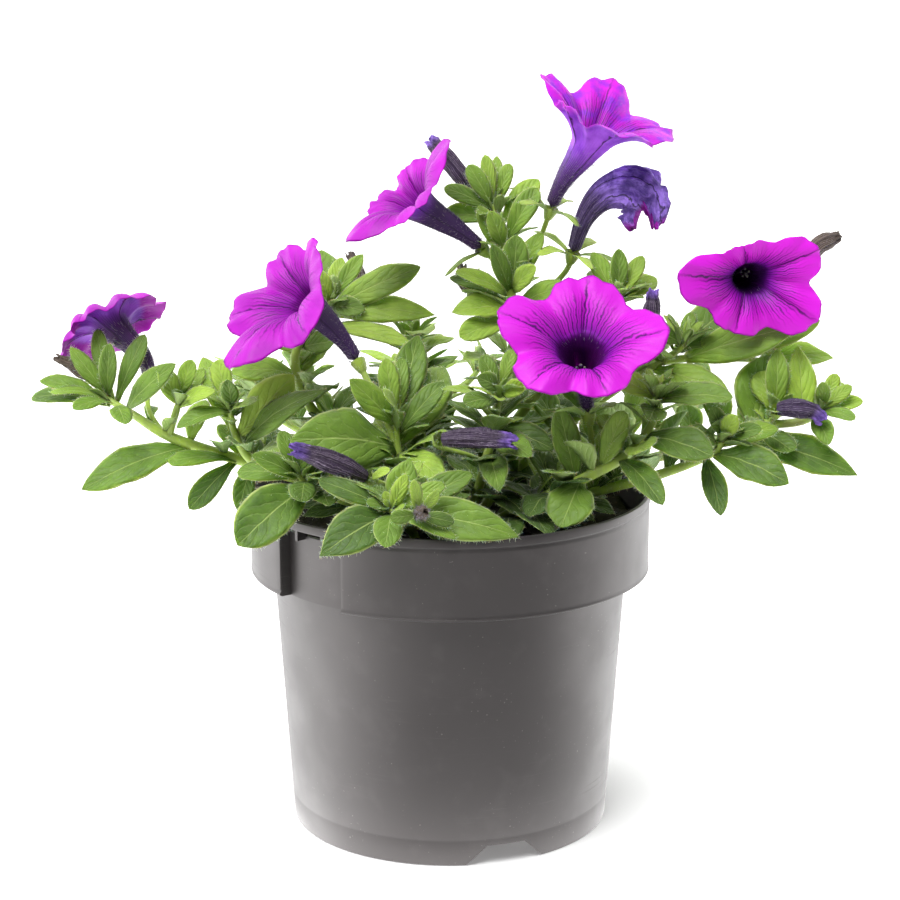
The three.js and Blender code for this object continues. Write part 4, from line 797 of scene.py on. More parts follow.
# Painted shade on the outside of the far-left flower's folded lobes, and a magenta band there,
# darkened as painted shade.
limb = (folded * 0.4).mix(limb, FOLD_SHADE)
limb = v.smooth(0.80, 1.0, 0, 0.6).mix(limb, MAGENTA)
limb = (folded * v.smooth(0.64, 0.76, 0, 0.9)).mix(limb, FOLD_MAGENTA)
tube_skin = (violet * v.smooth(0.02, 0.28)).mix(TUBE_PALE, TUBE_VIOLET)
tube_skin = (pattern["Lines"] * v.smooth(0.0, 0.2, 0.7, 1)).mix(tube_skin, TUBE_DARK)
start = violet * -0.12 + 0.27
colour = v.smooth(start, start + 0.22).mix(tube_skin, limb)
colour = (pattern["Rib"] * 0.8).mix(colour, TUBE_DARK)
petal_outside = outside.done(colour, pattern["Lines"] + pattern["Rib"], 0.5, 0.0004)
print("petal materials:", petal_inside.name, petal_outside.name)

# %% [markdown]
# Withered petals. They keep the veins, as pale ridges on a dark skin that browns with age, and
# their collapsed ends stay violet for a while. Here the tone stands for age: it is below 0 on the
# flower that has only just wilted, whose lip is still magenta, and near 1 on the driest ones.

# %% Withered petal and anther materials
SKIN_STOPS = ((0.0, (0.034, 0.016, 0.075)), (0.5, (0.030, 0.018, 0.026)),
              (1.0, (0.085, 0.060, 0.042)))
RIDGE_STOPS = ((0.0, (0.170, 0.120, 0.240)), (0.5, (0.330, 0.280, 0.300)),
               (1.0, (0.260, 0.210, 0.160)))
WILT_VIOLET = (0.085, 0.040, 0.250)
WILT_LAVENDER = (0.350, 0.195, 0.760)
DRY_BROWN = (0.085, 0.055, 0.055)
DRY_RIB = (0.012, 0.006, 0.022)
ANTHER_GREEN = (0.10, 0.10, 0.07)
ANTHER_VIOLET = (0.05, 0.04, 0.09)

withered = Finish("petal withered", 0.6, Specular_IOR_Level=0.35)
u, v = withered.growth()
pattern = withered.use(petal_veins, Fine_lines=6, Fade_from=0.8, Fade_to=1.3, Shake=0.3)
age = withered.tone()
skin = (withered.noise(340) * 0.25 + age).ramp(*SKIN_STOPS)
ridged = pattern["Lines"] * withered.noise(500, 2).smooth(0.3, 0.6, 0.35, 0.95)
skin = ridged.mix(skin, age.ramp(*RIDGE_STOPS))
end = withered.noise(260).smooth(0.35, 0.65).mix(WILT_VIOLET, WILT_LAVENDER)
end = age.smooth(0.1, 0.8).mix(end, DRY_BROWN)
begin = age * 0.55 + 0.5
colour = v.smooth(begin, begin + 0.22).mix(skin, end)
colour = (v.smooth(0.80, 0.86) * age.smooth(0, -0.3)).mix(colour, MAGENTA_DEEP)
colour = (pattern["Rib"] * 0.85).mix(colour, DRY_RIB)
height = withered.noise(520, 5) * 1.6 + pattern["Lines"]
petal_spent = withered.done(colour, height, 0.9, 0.0009)

knob = Finish("anther", 0.6)
colour = knob.noise(1200, 2).smooth(0.4, 0.6).mix(ANTHER_GREEN, ANTHER_VIOLET)
anther = knob.done(colour, knob.noise(3000, 1), 0.4, 0.0002)
print("withered petal and anther:", petal_spent.name, anther.name)

# %% [markdown]
# Pot plastic and peat. The pot is moulded in recycled plastic: a warm grey with a satin skin, a
# faint mottling from the melt, fine scuffs round it from being stacked in others, and dust that
# lies on it in specks. The peat is nearly black and fibrous.

# %% Pot and peat materials
PLASTIC = (0.0155, 0.0139, 0.0139)
PLASTIC_LIGHT = (0.0205, 0.0186, 0.0186)
SCUFFED = (0.30, 0.28, 0.27)
DUST = (0.40, 0.38, 0.35)
STAINED = (0.11, 0.10, 0.10)
PEAT_STOPS = ((0.3, (0.006, 0.004, 0.003)), (0.6, (0.022, 0.014, 0.009)),
              (0.75, (0.06, 0.038, 0.022)))

plastic = Finish("pot plastic", 0.45, Specular_IOR_Level=0.6, Specular_Tint=(1, 0.94, 0.93, 1))
mottle = plastic.noise(45, 5)
colour = mottle.smooth(0.25, 0.75).mix(PLASTIC, PLASTIC_LIGHT)
scuff = plastic.noise(60, 4, stretch=(0.6, 0.6, 22)).smooth(0.60, 0.74)
scuff = scuff * plastic.noise(30, 2).smooth(0.48, 0.7)
colour = (scuff * 0.10).mix(colour, SCUFFED)
speck = plastic.noise(1400, 0).smooth(0.80, 0.84) * plastic.noise(80, 2).smooth(0.45, 0.6)
colour = (speck * 0.16).mix(colour, DUST)
colour = plastic.noise(110, 5).smooth(0.50, 0.72, 0, 0.07).mix(colour, STAINED)
height = plastic.noise(2200, 2) * 0.25 + scuff * 0.6
pot_plastic = plastic.done(colour, height, 0.12, 0.0002,
                           mottle.smooth(0.3, 0.7, 0.42, 0.52) + scuff * 0.2)

peat = Finish("peat", 0.95)
crumb = peat.noise(420, 5)
peat_crumb = peat.done(crumb.ramp(*PEAT_STOPS), crumb, 0.9, 0.0015)
print("pot and peat materials:", pot_plastic.name, peat_crumb.name)

# %% [markdown]
# The pot is one thin moulding: a tapered wall, a step out to the collar with a small bead at its
# lower edge, a rounded lip with a groove under it, and a raised floor. It could be carved from
# cylinders, but a pot is a lathe shape, so its cross-section is drawn once and spun round the
# axis. What isn't round, the two recesses in the collar, the drainage holes and the notches in
# the foot, is cut out afterwards with small shapes of its own.

# %% Spinning and joining
POT_SIDES = 144


def spun(profile, sides=POT_SIDES, start=0.0, angle=FULL_TURN):
    """A solid spun about +Z from a closed profile of (radius, height)."""
    bm = bmesh.new()
    begin = Quaternion(UP, start)
    verts = [bm.verts.new(begin @ Vector((radius, 0, height))) for radius, height in profile]
    edges = [bm.edges.new(pair) for pair in zip(verts, verts[1:] + verts[:1])]
    whole = angle >= FULL_TURN
    ends = [] if whole else [bm.faces.new(verts)]
    bmesh.ops.spin(bm, geom=verts + edges + ends, cent=(0, 0, 0), axis=UP, angle=angle,
                   steps=sides, use_merge=whole)
    if ends and not [f for f in bm.faces if len(f.verts) == len(verts) and f not in ends]:
        bm.faces.new(verts)
    bmesh.ops.remove_doubles(bm, verts=bm.verts, dist=MERGE)
    bmesh.ops.holes_fill(bm, edges=[e for e in bm.edges if e.is_boundary], sides=0)
    bmesh.ops.recalc_face_normals(bm, faces=bm.faces)
    return bm


def combine(piece, other, operation):
    """Joins, or cuts, a piece with another solid, and deletes that one."""
    modifier = piece.modifiers.new(operation, "BOOLEAN")
    modifier.operation = operation
    modifier.solver = "EXACT"
    modifier.object = other
    bpy.context.view_layer.objects.active = piece
    bpy.ops.object.modifier_apply(modifier=modifier.name)
    bpy.data.objects.remove(other)


print("a round shape has", POT_SIDES, "sides")

# %% Pot outline
POT_HEIGHT = 110
RIM_RADIUS = 65
COLLAR_BOTTOM = 84
COLLAR_RADIUS = 64.6
NECK_RADIUS = 57.3
FOOT_RADIUS = 51.6
WALL = 1.5
FLOOR_HEIGHT = 5.5
CENTRE_FOOT_RADIUS = 14


def wall_radius(height):
    return FOOT_RADIUS + (NECK_RADIUS - FOOT_RADIUS) * height / COLLAR_BOTTOM


def beside(radius, *places):
    """Profile points given by how far outside a radius they are, and their heights."""
    return [(radius + off, height) for off, height in places]


floor_top = FLOOR_HEIGHT + WALL
step_top = COLLAR_BOTTOM + WALL
wall_places = (0, 8.2), (-0.07, 8.6), (0, 9), (0, 82.8), (0.15, 83.6), (0.6, COLLAR_BOTTOM)
outer_wall = [
    *beside(CENTRE_FOOT_RADIUS, (-0.8, 0), (0, 0.6), (0.4, FLOOR_HEIGHT)),
    *beside(FOOT_RADIUS, (-1.5, FLOOR_HEIGHT), (-1.9, 0.3), (-1.6, 0), (-0.5, 0), (-0.1, 0.2),
            (0, 0.7)),
    *[(wall_radius(height) + off, height) for off, height in wall_places],
    *beside(COLLAR_RADIUS, (-0.7, COLLAR_BOTTOM), (-0.2, 84.2), (0.1, 84.4), (0.2, 84.8),
            (0, 85.2), (0, 86), (0.1, 105.4), (0.1, 106.2), (-0.05, 106.5), (-0.05, 106.9)),
    *beside(RIM_RADIUS, (-0.2, 107.2), (0, 107.5), (0, 109.2), (-0.25, 109.8),
            (-0.75, POT_HEIGHT)),
]
inner_wall = [
    *beside(RIM_RADIUS, (-1.25, 109.9), (-WALL, 109.5), (-WALL - 0.1, 107)),
    *beside(COLLAR_RADIUS - WALL, (0, step_top + 0.8), (-0.8, step_top)),
    *beside(wall_radius(step_top) - WALL, (0.5, step_top), (0, step_top - 0.6)),
    *beside(wall_radius(floor_top) - WALL, (0, floor_top + 0.8), (-0.8, floor_top)),
    (0, floor_top), (0, 0),
]
pot = as_object(spun(outer_wall + inner_wall), "nursery_pot")
print("pot wall:", len(pot.data.vertices), "points")

# %% [markdown]
# The recesses. Stacked pots are kept from jamming by two places where the collar steps in. Each
# is a slice of a ring: first the wall is thickened inwards there, then the same slice is cut out
# of the outside, and the thin strap over it stays. Two small ribs stand in the slot.

# %% Recesses in the collar
RECESS_TURNS = (-133, 47)
RECESS_WIDTH = 24
RECESS_SIDE = 1.4
RECESS_RADIUS = 60.7
RECESS_TOP = 104.6
STRAP_BOTTOM = 107.3
RIB_TURNS = (-5, 5)
RIB_WIDTH = 1
BEYOND_RIM = 68
SLICE_STEPS = 16


def slice_pot(operation, inner, outer, middle, width, bottom, top, steps=SLICE_STEPS):
    """Adds a slice of a ring to the pot, or cuts it out."""
    profile = [(inner, bottom), (outer, bottom), (outer, top), (inner, top)]
    start = math.radians(middle - width / 2)
    combine(pot, as_object(spun(profile, steps, start, math.radians(width)), "slice"), operation)


back_of_recess = RECESS_RADIUS - WALL
for turn in RECESS_TURNS:
    slice_pot("UNION", back_of_recess, COLLAR_RADIUS - 0.4, turn, RECESS_WIDTH + 2 * RECESS_SIDE,
              COLLAR_BOTTOM + 0.5, RECESS_TOP)
    slice_pot("DIFFERENCE", RECESS_RADIUS, BEYOND_RIM, turn, RECESS_WIDTH, COLLAR_BOTTOM - 1,
              STRAP_BOTTOM)
    for side in RIB_TURNS:
        slice_pot("UNION", back_of_recess + 0.5, COLLAR_RADIUS - 0.9, turn + side, RIB_WIDTH,
                  RECESS_TOP - 1, STRAP_BOTTOM + 0.5, 2)
print("pot with recesses:", len(pot.data.vertices), "points")

# %% [markdown]
# Water has to leave the pot: six holes in the raised floor let it out under the pot, and three
# notches in the foot ring let it run away. The holes are short cylinders; a notch is a cube
# whose lower edge is spread, which gives the slanted sides.

# %% Drainage holes and foot notches
DRAIN_HOLE_RADIUS = 4.5
DRAIN_HOLE_CIRCLE = 36
DRAIN_HOLE_SIDES = 32
DRILL_DEPTH = 20
DRAIN_HOLES = 6
NOTCHES = 3
NOTCH_TURN = -70
NOTCH_TOP = 12.5
NOTCH_BOTTOM = 26
NOTCH_HEIGHT = 6.5
NOTCH_DEPTH = 14


def at_turn(turn, radius):
    return Vector((radius * math.cos(math.radians(turn)), radius * math.sin(math.radians(turn)), 0))


for i in range(DRAIN_HOLES):
    turn = NOTCH_TURN + i * 360 / DRAIN_HOLES
    bm = bmesh.new()
    bmesh.ops.create_cone(bm, cap_ends=True, segments=DRAIN_HOLE_SIDES, depth=DRILL_DEPTH,
                          radius1=DRAIN_HOLE_RADIUS, radius2=DRAIN_HOLE_RADIUS)
    bmesh.ops.translate(bm, vec=at_turn(turn, DRAIN_HOLE_CIRCLE), verts=bm.verts)
    combine(pot, as_object(bm, "drill"), "DIFFERENCE")
for i in range(NOTCHES):
    turn = NOTCH_TURN + i * 360 / NOTCHES
    bm = bmesh.new()
    bmesh.ops.create_cube(bm, size=1)
    bmesh.ops.scale(bm, vec=(NOTCH_DEPTH, 1, 2 * NOTCH_HEIGHT), verts=bm.verts)
    for vert in bm.verts:
        vert.co.y *= NOTCH_TOP if vert.co.z > 0 else 2 * NOTCH_BOTTOM - NOTCH_TOP
    bmesh.ops.rotate(bm, cent=(0, 0, 0), matrix=Quaternion(UP, math.radians(turn)).to_matrix(),
                     verts=bm.verts)
    bmesh.ops.translate(bm, vec=at_turn(turn, FOOT_RADIUS + 2), verts=bm.verts)
    combine(pot, as_object(bm, "notch"), "DIFFERENCE")
print("pot with holes and notches:", len(pot.data.vertices), "points")

# %% [markdown]
# Moulded plastic has no knife edges, and a rounded edge catches the light as a thin line. The
# upright edges of the recesses are bevelled. The faces are shaded smooth, except across an edge
# that turns sharply.

# %% Rounded recess edges, smooth shading and plastic
SHARP_TURN = 28
CORNER_MERGE = 0.00002
UPRIGHT_LENGTH = 0.01
BEVEL_WIDTH = 0.0004

bm = bmesh.new()
bm.from_mesh(pot.data)
bmesh.ops.remove_doubles(bm, verts=bm.verts, dist=CORNER_MERGE)
upright = [edge for edge in bm.edges if edge.is_manifold and edge.calc_face_angle(0) > 1
           and abs(edge.verts[0].co.z - edge.verts[1].co.z) > UPRIGHT_LENGTH
           and all(vert.co.xy.length > (COLLAR_RADIUS - 0.4) * MM for vert in edge.verts)]
bmesh.ops.bevel(bm, geom=upright, offset=BEVEL_WIDTH, segments=2, profile=0.5, affect="EDGES")
for face in bm.faces:
    face.smooth = True
for edge in bm.edges:
    edge.smooth = edge.is_manifold and edge.calc_face_angle(0) < math.radians(SHARP_TURN)
bm.to_mesh(pot.data)
bm.free()
pot.data.materials.clear()
dress(pot, [pot_plastic], ["pot"])
print("rounded recess edges:", len(upright), "and faces of the pot:", len(pot.data.polygons))

# %% [markdown]
# The peat fills the pot to just under the rim. Its top is an uneven crust of crumbs, so the
# profile of the filling is spun with many rings on top, and each point there is lifted by two
# slow waves, as in the solid, and at random for the crumbs. Behind the recesses it gives way.

# %% Peat
GAP = 0.35
PEAT_LEVEL = 98.6
PEAT_BUMP = 0.9
CRUMB = 1.6
CRUMB_SEED = 5
PEAT_RINGS = 48
PEAT_SIDES = 160
PEAT_RIM_GAP = 0.4
BESIDE_RECESS = 2.5


def peat_height(x, y):
    slow = math.sin(x * 0.21 + 1) * math.cos(y * 0.19) + math.sin(x * 0.07 - y * 0.3)
    return PEAT_LEVEL + PEAT_BUMP * slow


peat_edge = RIM_RADIUS - WALL - PEAT_RIM_GAP - GAP
profile = [(0, floor_top + GAP)]
profile += [(wall_radius(height) - WALL - GAP, height + GAP) for height in (floor_top, step_top)]
profile += [(peat_edge, step_top + GAP)]
profile += [(peat_edge * (1 - k / PEAT_RINGS), PEAT_LEVEL) for k in range(PEAT_RINGS + 1)]
bm = spun(profile, PEAT_SIDES)
chance = random.Random(CRUMB_SEED)
limit = back_of_recess - GAP
for vert in bm.verts:
    if vert.co.z > PEAT_LEVEL - 0.1:
        vert.co.z = peat_height(vert.co.x, vert.co.y) + CRUMB * (chance.random() - 0.5)
half = RECESS_WIDTH / 2 + BESIDE_RECESS
for turn in RECESS_TURNS:
    for vert in bm.verts:
        off = (math.degrees(math.atan2(vert.co.y, vert.co.x)) - turn + 180) % 360 - 180
        flat = math.hypot(vert.co.x, vert.co.y)
        if vert.co.z > COLLAR_BOTTOM and abs(off) < half and flat > limit:
            vert.co.x *= limit / flat
            vert.co.y *= limit / flat
for face in bm.faces:
    face.smooth = True
finish_piece(bm, "peat_filling", [peat_crumb], ["peat"], merge=0)
print("peat crumbs stand up to", CRUMB / 2, "mm")

# %% [markdown]
# Which leaves stand where. A leaf is a base on its shoot, a tip, a width and the way its face
# looks. The listed leaves say where their tips are; the rosettes and the runs up a stem follow
# the spiral of 137.5 degrees that real leaves keep. Some leaves were bent clear of a neighbour in
# the solid. To find out how, each bend is tried, and the one whose tip is a corner of the solid
# is the leaf that was built there.

# %% List the leaves
SPIRAL = 137.5
TIP_ROOT = 0.12
BLADE_THICK = 0.7
BLADE_ARCH = 0.1
CALYX_RADIUS = 2.3
CALYX_LENGTH = 4.5
SEPALS = 5
SEPAL_WIDTH = 2.8


def new_leaf(shoot, where, tip, width, face, **more):
    return dict(shoot=shoot, base=shoot.root(where, tip), tip=tip, width=width, face=face, **more)


def hand_leaves():
    for label, *group in LEAVES:
        for where, x, y, z, width, turn in group:
            yield new_leaf(shoots[label], where - TIP_ROOT, Vector((x, y, z)), width,
                           Vector((0, -turn, 1 - turn * 0.7)))


def rosette_leaves(rows):
    for label, count, first, length, width, lift in rows:
        shoot = shoots[label]
        heart = (shoot.direction(shoot.end) + UP * 0.8).normalized()
        for i in range(int(count)):
            inner = i / count
            rise = math.radians(lift + (75 - lift) * inner)
            reach = length * (1 - 0.45 * inner)
            where = shoot.end - TIP_ROOT - 0.3 * (1 - inner)
            out = round_about(heart, first + i * SPIRAL)
            tip = shoot.point(where) + out * reach * math.cos(rise) + heart * reach * math.sin(rise)
            yield new_leaf(shoot, where, tip, width * (1 - 0.4 * inner), heart)


def run_leaves(rows):
    for label, start, stop, count, first, length, width in rows:
        shoot = shoots[label]
        for i in range(int(count)):
            where = start + (stop - start) * (i + 0.5) / count
            out = round_about(shoot.direction(where), first + i * SPIRAL)
            out.z = abs(out.z) * 0.5 + 0.35
            yield new_leaf(shoot, where, shoot.point(where) + out.normalized() * length, width, UP)


def sepals():
    for label, length, opening, first in CALYXES:
        shoot = shoots[label]
        top, line = shoot.tip()
        for i in range(SEPALS):
            out = round_about(line, first + i * 360 / SEPALS)
            base = top - line * 0.7 + out * CALYX_RADIUS * 0.4
            away = circle(math.radians(opening), line, out)
            yield dict(shoot=shoot, base=base, tip=base + away * length, width=SEPAL_WIDTH,
                       face=line, sepal=True)


listed = [*sepals(), *hand_leaves(), *rosette_leaves(ROSETTES), *run_leaves(RUNS)]
print("leaves listed:", len(listed))

# %% Find each listed leaf on its solid
FOUND_WITHIN = 0.15


def bent(leaf, swing, lift, scale):
    out = leaf["tip"] - leaf["base"]
    out.rotate(Quaternion(UP, math.radians(swing)))
    out.rotate(Quaternion(square_to(out.normalized())[0], math.radians(-lift)))
    return dict(leaf, tip=leaf["base"] + out * scale, width=leaf["width"] * scale)


def leaf_axes(leaf):
    along = (leaf["tip"] - leaf["base"]).normalized()
    normal = (leaf["face"] - along * leaf["face"].dot(along)).normalized()
    return along, along.cross(normal), normal


def corners_of(node):
    tree = KDTree(len(node.data.vertices))
    for vert in node.data.vertices:
        tree.insert(vert.co / MM, vert.index)
    tree.balance()
    return tree


corners = {name: corners_of(node) for name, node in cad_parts.items()
           if name.startswith("leafy")}


def as_built(leaf):
    """The leaf at the bend that its solid has, or None where the solid has no such leaf."""
    tree = corners[leaf["shoot"].node]
    best, nearest = None, FOUND_WITHIN
    for bend in BENDS:
        option = bent(leaf, *bend)
        half = leaf_axes(option)[2] * BLADE_THICK / 2
        off = max(tree.find(option["tip"] + half)[2], tree.find(option["tip"] - half)[2])
        if off < nearest:
            best, nearest = option, off
    return best


leaves = [found for found in map(as_built, listed) if found]
print("leaves found on the solids:", len(leaves), "of", len(listed))

# %% [markdown]
# More leaves. A petunia is bushier than its solids: each shoot carries small leaves in every
# axil, and broad ones lie low over the peat. These extra leaves follow the same spirals with
# other starting turns, or are listed one by one near the rim. One that would stand in the mouth of
# a flower, outside the solids' box, or through the pot's wall, is left out.

# %% Extra leaves listed one by one near the rim: shoot, where along it, tip, width
RIM_LEAVES = plant_list("""
front_right 0.6 30,-49,107 13
front_right 0.9 45,-36,109 12
right 0.7 52,-22,108 12
centre 0.4 8,-48,106 12
front_right 0.4 17,-51,105 12
right 0.5 36,-31,104 12
far_right 0.6 50,-8,109 12
left_low 0.4 -22,-48,105 12
left_low 0.8 -46,-30,109 12
left_mid 0.6 -49,-20,108 12
front 0.5 -2,-50,105 11
front_right 1.2 24,-44,113 11
centre 0.8 26,-38,108 11
""")
# %% Extra leaves up a stem, as the runs above
MORE_RUNS = plant_list("""
left 0.4 3 6 150 16 8
left 3 4.6 4 40 11 4.5
left_mid 0.4 3 7 20 17 8.5
left_mid 2.6 3.9 5 80 12 5
upper_left 0.4 3.4 8 60 18 9
upper_left 3.2 4.8 6 10 12 5
centre_left 0.3 2.4 7 90 20 10
centre_left 1.8 2.9 6 20 11 4.5
front 0.3 2.4 7 110 17 8
front 2 2.9 5 30 9 4
top 0.4 3.6 10 120 18 9
top 3 5.8 12 70 12 5
centre 0.3 2.6 8 40 19 10
centre 1.8 2.9 6 70 11 4.5
front_right 0.3 3 8 150 18 9
front_right 2.8 4.9 8 20 12 5
right 0.3 3 8 20 18 9
right 2.6 3.9 6 50 11 4.5
far_right 0.3 3 8 70 18 9
far_right 2.7 3.9 6 0 11 4.5
right_back 0.3 3 9 130 20 10
right_back 2.6 3.9 6 30 12 5
centre_back 0.3 3.4 9 50 19 9
centre_back 2.6 3.9 6 100 12 5
left_low 0.3 2.6 7 40 18 9
left_low 2 2.9 5 110 10 4.5
back_left 0.4 2.9 8 50 20 10
back 0.4 2.9 8 100 20 10
back_right 0.4 2.9 8 20 20 10
back_top 0.4 2.9 9 0 19 10
back_far 0.4 2.9 8 60 20 10
""")
# %% Extra rosettes, as those above
MORE_ROSETTES = plant_list("""
left 4 60 11 4 35
left_side 6 80 9 3.6 40
left_mid 7 40 9 3.8 35
upper_left 6 90 10 4 40
centre_left 7 10 9 3.6 45
front 7 60 8 3.4 35
top 6 20 9 3.4 45
centre 7 70 9 3.8 35
front_right 7 10 10 4 35
right 7 0 9 3.8 35
far_right 6 60 10 4 40
far_right_tip 6 20 8 3.4 35
right_back 7 80 12 4.6 35
right_back_side 6 0 11 4.4 35
centre_back 7 40 10 4 40
left_low 7 30 9 4 35
back_left 7 60 13 5 35
back_left_side 6 0 11 4.4 35
back 7 60 13 5 35
back_side 6 40 11 4.4 35
back_right 7 0 13 5 35
back_right_side 6 20 11 4.4 35
back_top 7 50 12 5 35
back_far 7 20 13 5 35
""")
# %% Extra leaves that are free of the flowers and the pot
BOX_MARGIN = 4
CLEAR_AHEAD = 26
CLEAR_ROUND = 30
CLEAR_BEHIND = 4
TUBE_ROUND = 7
LOW_LEAVES = 5
LOW_WIDTH = 11.5
LOW_REACH = 21
INSIDE_RIM = 6
ABOVE_RIM = 4
box_low, box_high = [corner / MM for corner in cad_box]


def low_leaves():
    """Broad leaves that lie low over the peat, at the foot of every main stem."""
    for number, (label, *_) in enumerate(STEMS):
        shoot = shoots[label]
        for i in range(LOW_LEAVES):
            where = 0.25 + 0.3 * i
            out = round_about(UP, 50 * number + i * SPIRAL)
            tip = shoot.point(where) + out * (LOW_REACH - 2 * i) + UP * (2 + 2 * i)
            yield new_leaf(shoot, where, tip, LOW_WIDTH, UP, low=True)
    for label, where, tip, width in RIM_LEAVES:
        yield new_leaf(shoots[label], where, Vector(tip), width, UP, low=True)


def clears_rim(leaf):
    """True where the leaf stays inside the pot's wall, or above it."""
    points = [leaf["base"].lerp(leaf["tip"], t) for t in (0.4, 0.7, 1)]
    return all(point.xy.length <= RIM_RADIUS - INSIDE_RIM or point.z >= POT_HEIGHT + ABOVE_RIM
               for point in points)


def is_free(leaf):
    """True where the leaf stays in the box and out of the flowers."""
    tip, middle = leaf["tip"], (leaf["tip"] + leaf["base"]) / 2
    if any(not box_low[k] - BOX_MARGIN < tip[k] < box_high[k] + BOX_MARGIN for k in range(3)):
        return False
    for _, _, throat, facing, *_ in BLOOMS:
        throat, facing = Vector(throat), Vector(facing).normalized()
        for point in (tip, middle):
            off = point - throat
            ahead = off.dot(facing)
            aside = (off - facing * ahead).length
            if -CLEAR_BEHIND < ahead < CLEAR_AHEAD and aside < CLEAR_ROUND:
                return False
            if ahead <= -CLEAR_BEHIND and aside < TUBE_ROUND and off.length < CLEAR_ROUND:
                return False
    return True


extra = [*run_leaves(MORE_RUNS), *rosette_leaves(MORE_ROSETTES), *filter(clears_rim, low_leaves())]
extra = list(filter(is_free, extra))
leaves += extra
print("extra leaves:", len(extra))

# %% [markdown]
# One leaf. It is two grown sheets, an upper and a lower one, that meet at the margin, so the leaf
# is a closed lens a third of a millimetre thick. The outline swells from a short petiole to its
# widest past the middle and closes in a pointed tip, so the rows stand closer there. The blade
# arches, folds a little along its midrib, rolls down at the margin, waves, and is puckered between
# its veins, each leaf in its own way from a seeded draw. Leaves are lighter the higher they stand,
# and the smallest are the lightest; the low ones over the peat and those at the far left are
# darkened with painted shade.

# %% Tone and hairs of a leaf
TONES = (-0.02, 0.58)
LIGHTER_HEIGHTS = (104, 150)
FAR_LEFT = (-50, -75)
HEIGHT_LIGHTER = 0.32
SMALL_LIGHTER = 0.16
# Painted shade: low leaves over the peat, and leaves at the far left, are darkened.
LOW_PAINTED_SHADE = 0.2
FAR_LEFT_PAINTED_SHADE = 0.08


def leaf_tone(leaf, chance, small):
    tone = chance.uniform(*TONES) + (SMALL_LIGHTER if small else 0)
    # Leaves are lighter the higher their tips stand.
    tone += HEIGHT_LIGHTER * ease(*LIGHTER_HEIGHTS, leaf["tip"].z)
    # Painted shade for leaves at the far left, and for the low leaves below.
    tone -= FAR_LEFT_PAINTED_SHADE * ease(*FAR_LEFT, leaf["tip"].x)
    return tone - (LOW_PAINTED_SHADE if leaf.get("low") else 0)


def leaf_hairs(middle, axes, count, chance):
    """Roots of hairs along the margin, and of a few on the face: place, direction, length."""
    along, across, normal = axes
    for k in range(count):
        t, u = (k + chance.random()) / count, chance.choice((-1, 1))
        out = across * u * chance.uniform(0.5, 1.2) + along * chance.uniform(0.1, 0.8)
        out += normal * chance.uniform(-0.6, 0.8)
        yield middle(u * 0.98, 0.06 + 0.93 * t), out.normalized(), chance.uniform(0.4, 1.2)
    for _ in range(count // 4):
        point = middle(chance.uniform(-0.9, 0.9), chance.uniform(0.1, 0.95))
        out = normal * chance.uniform(0.6, 1) + along * chance.uniform(-0.3, 0.6)
        out += across * chance.uniform(-0.5, 0.5)
        yield point, out.normalized(), chance.uniform(0.3, 0.7)


tone = leaf_tone({"tip": 150 * UP}, random.Random(0), True)
print("a high, small leaf has a tone of", round(tone, 2))

# %% The leaf
LEAF_THICK = 0.34
RIB_PROUD = 0.35
RIB_WIDE = 0.16
PETIOLE = 0.26
ROWS_TO_TIP = 1.5
PUCKER = 0.35
BROAD = 10
SMALL = 5.5
SEPAL_LONGER = 1.2
SEPAL_WIDER = 1.75
BROAD_GRID, MIDDLE_GRID, SMALL_GRID = (8, 12), (6, 9), (4, 7)
LEAF_HAIRS, SMALL_HAIRS, SEPAL_HAIRS = 2.8, 3.2, 1.6


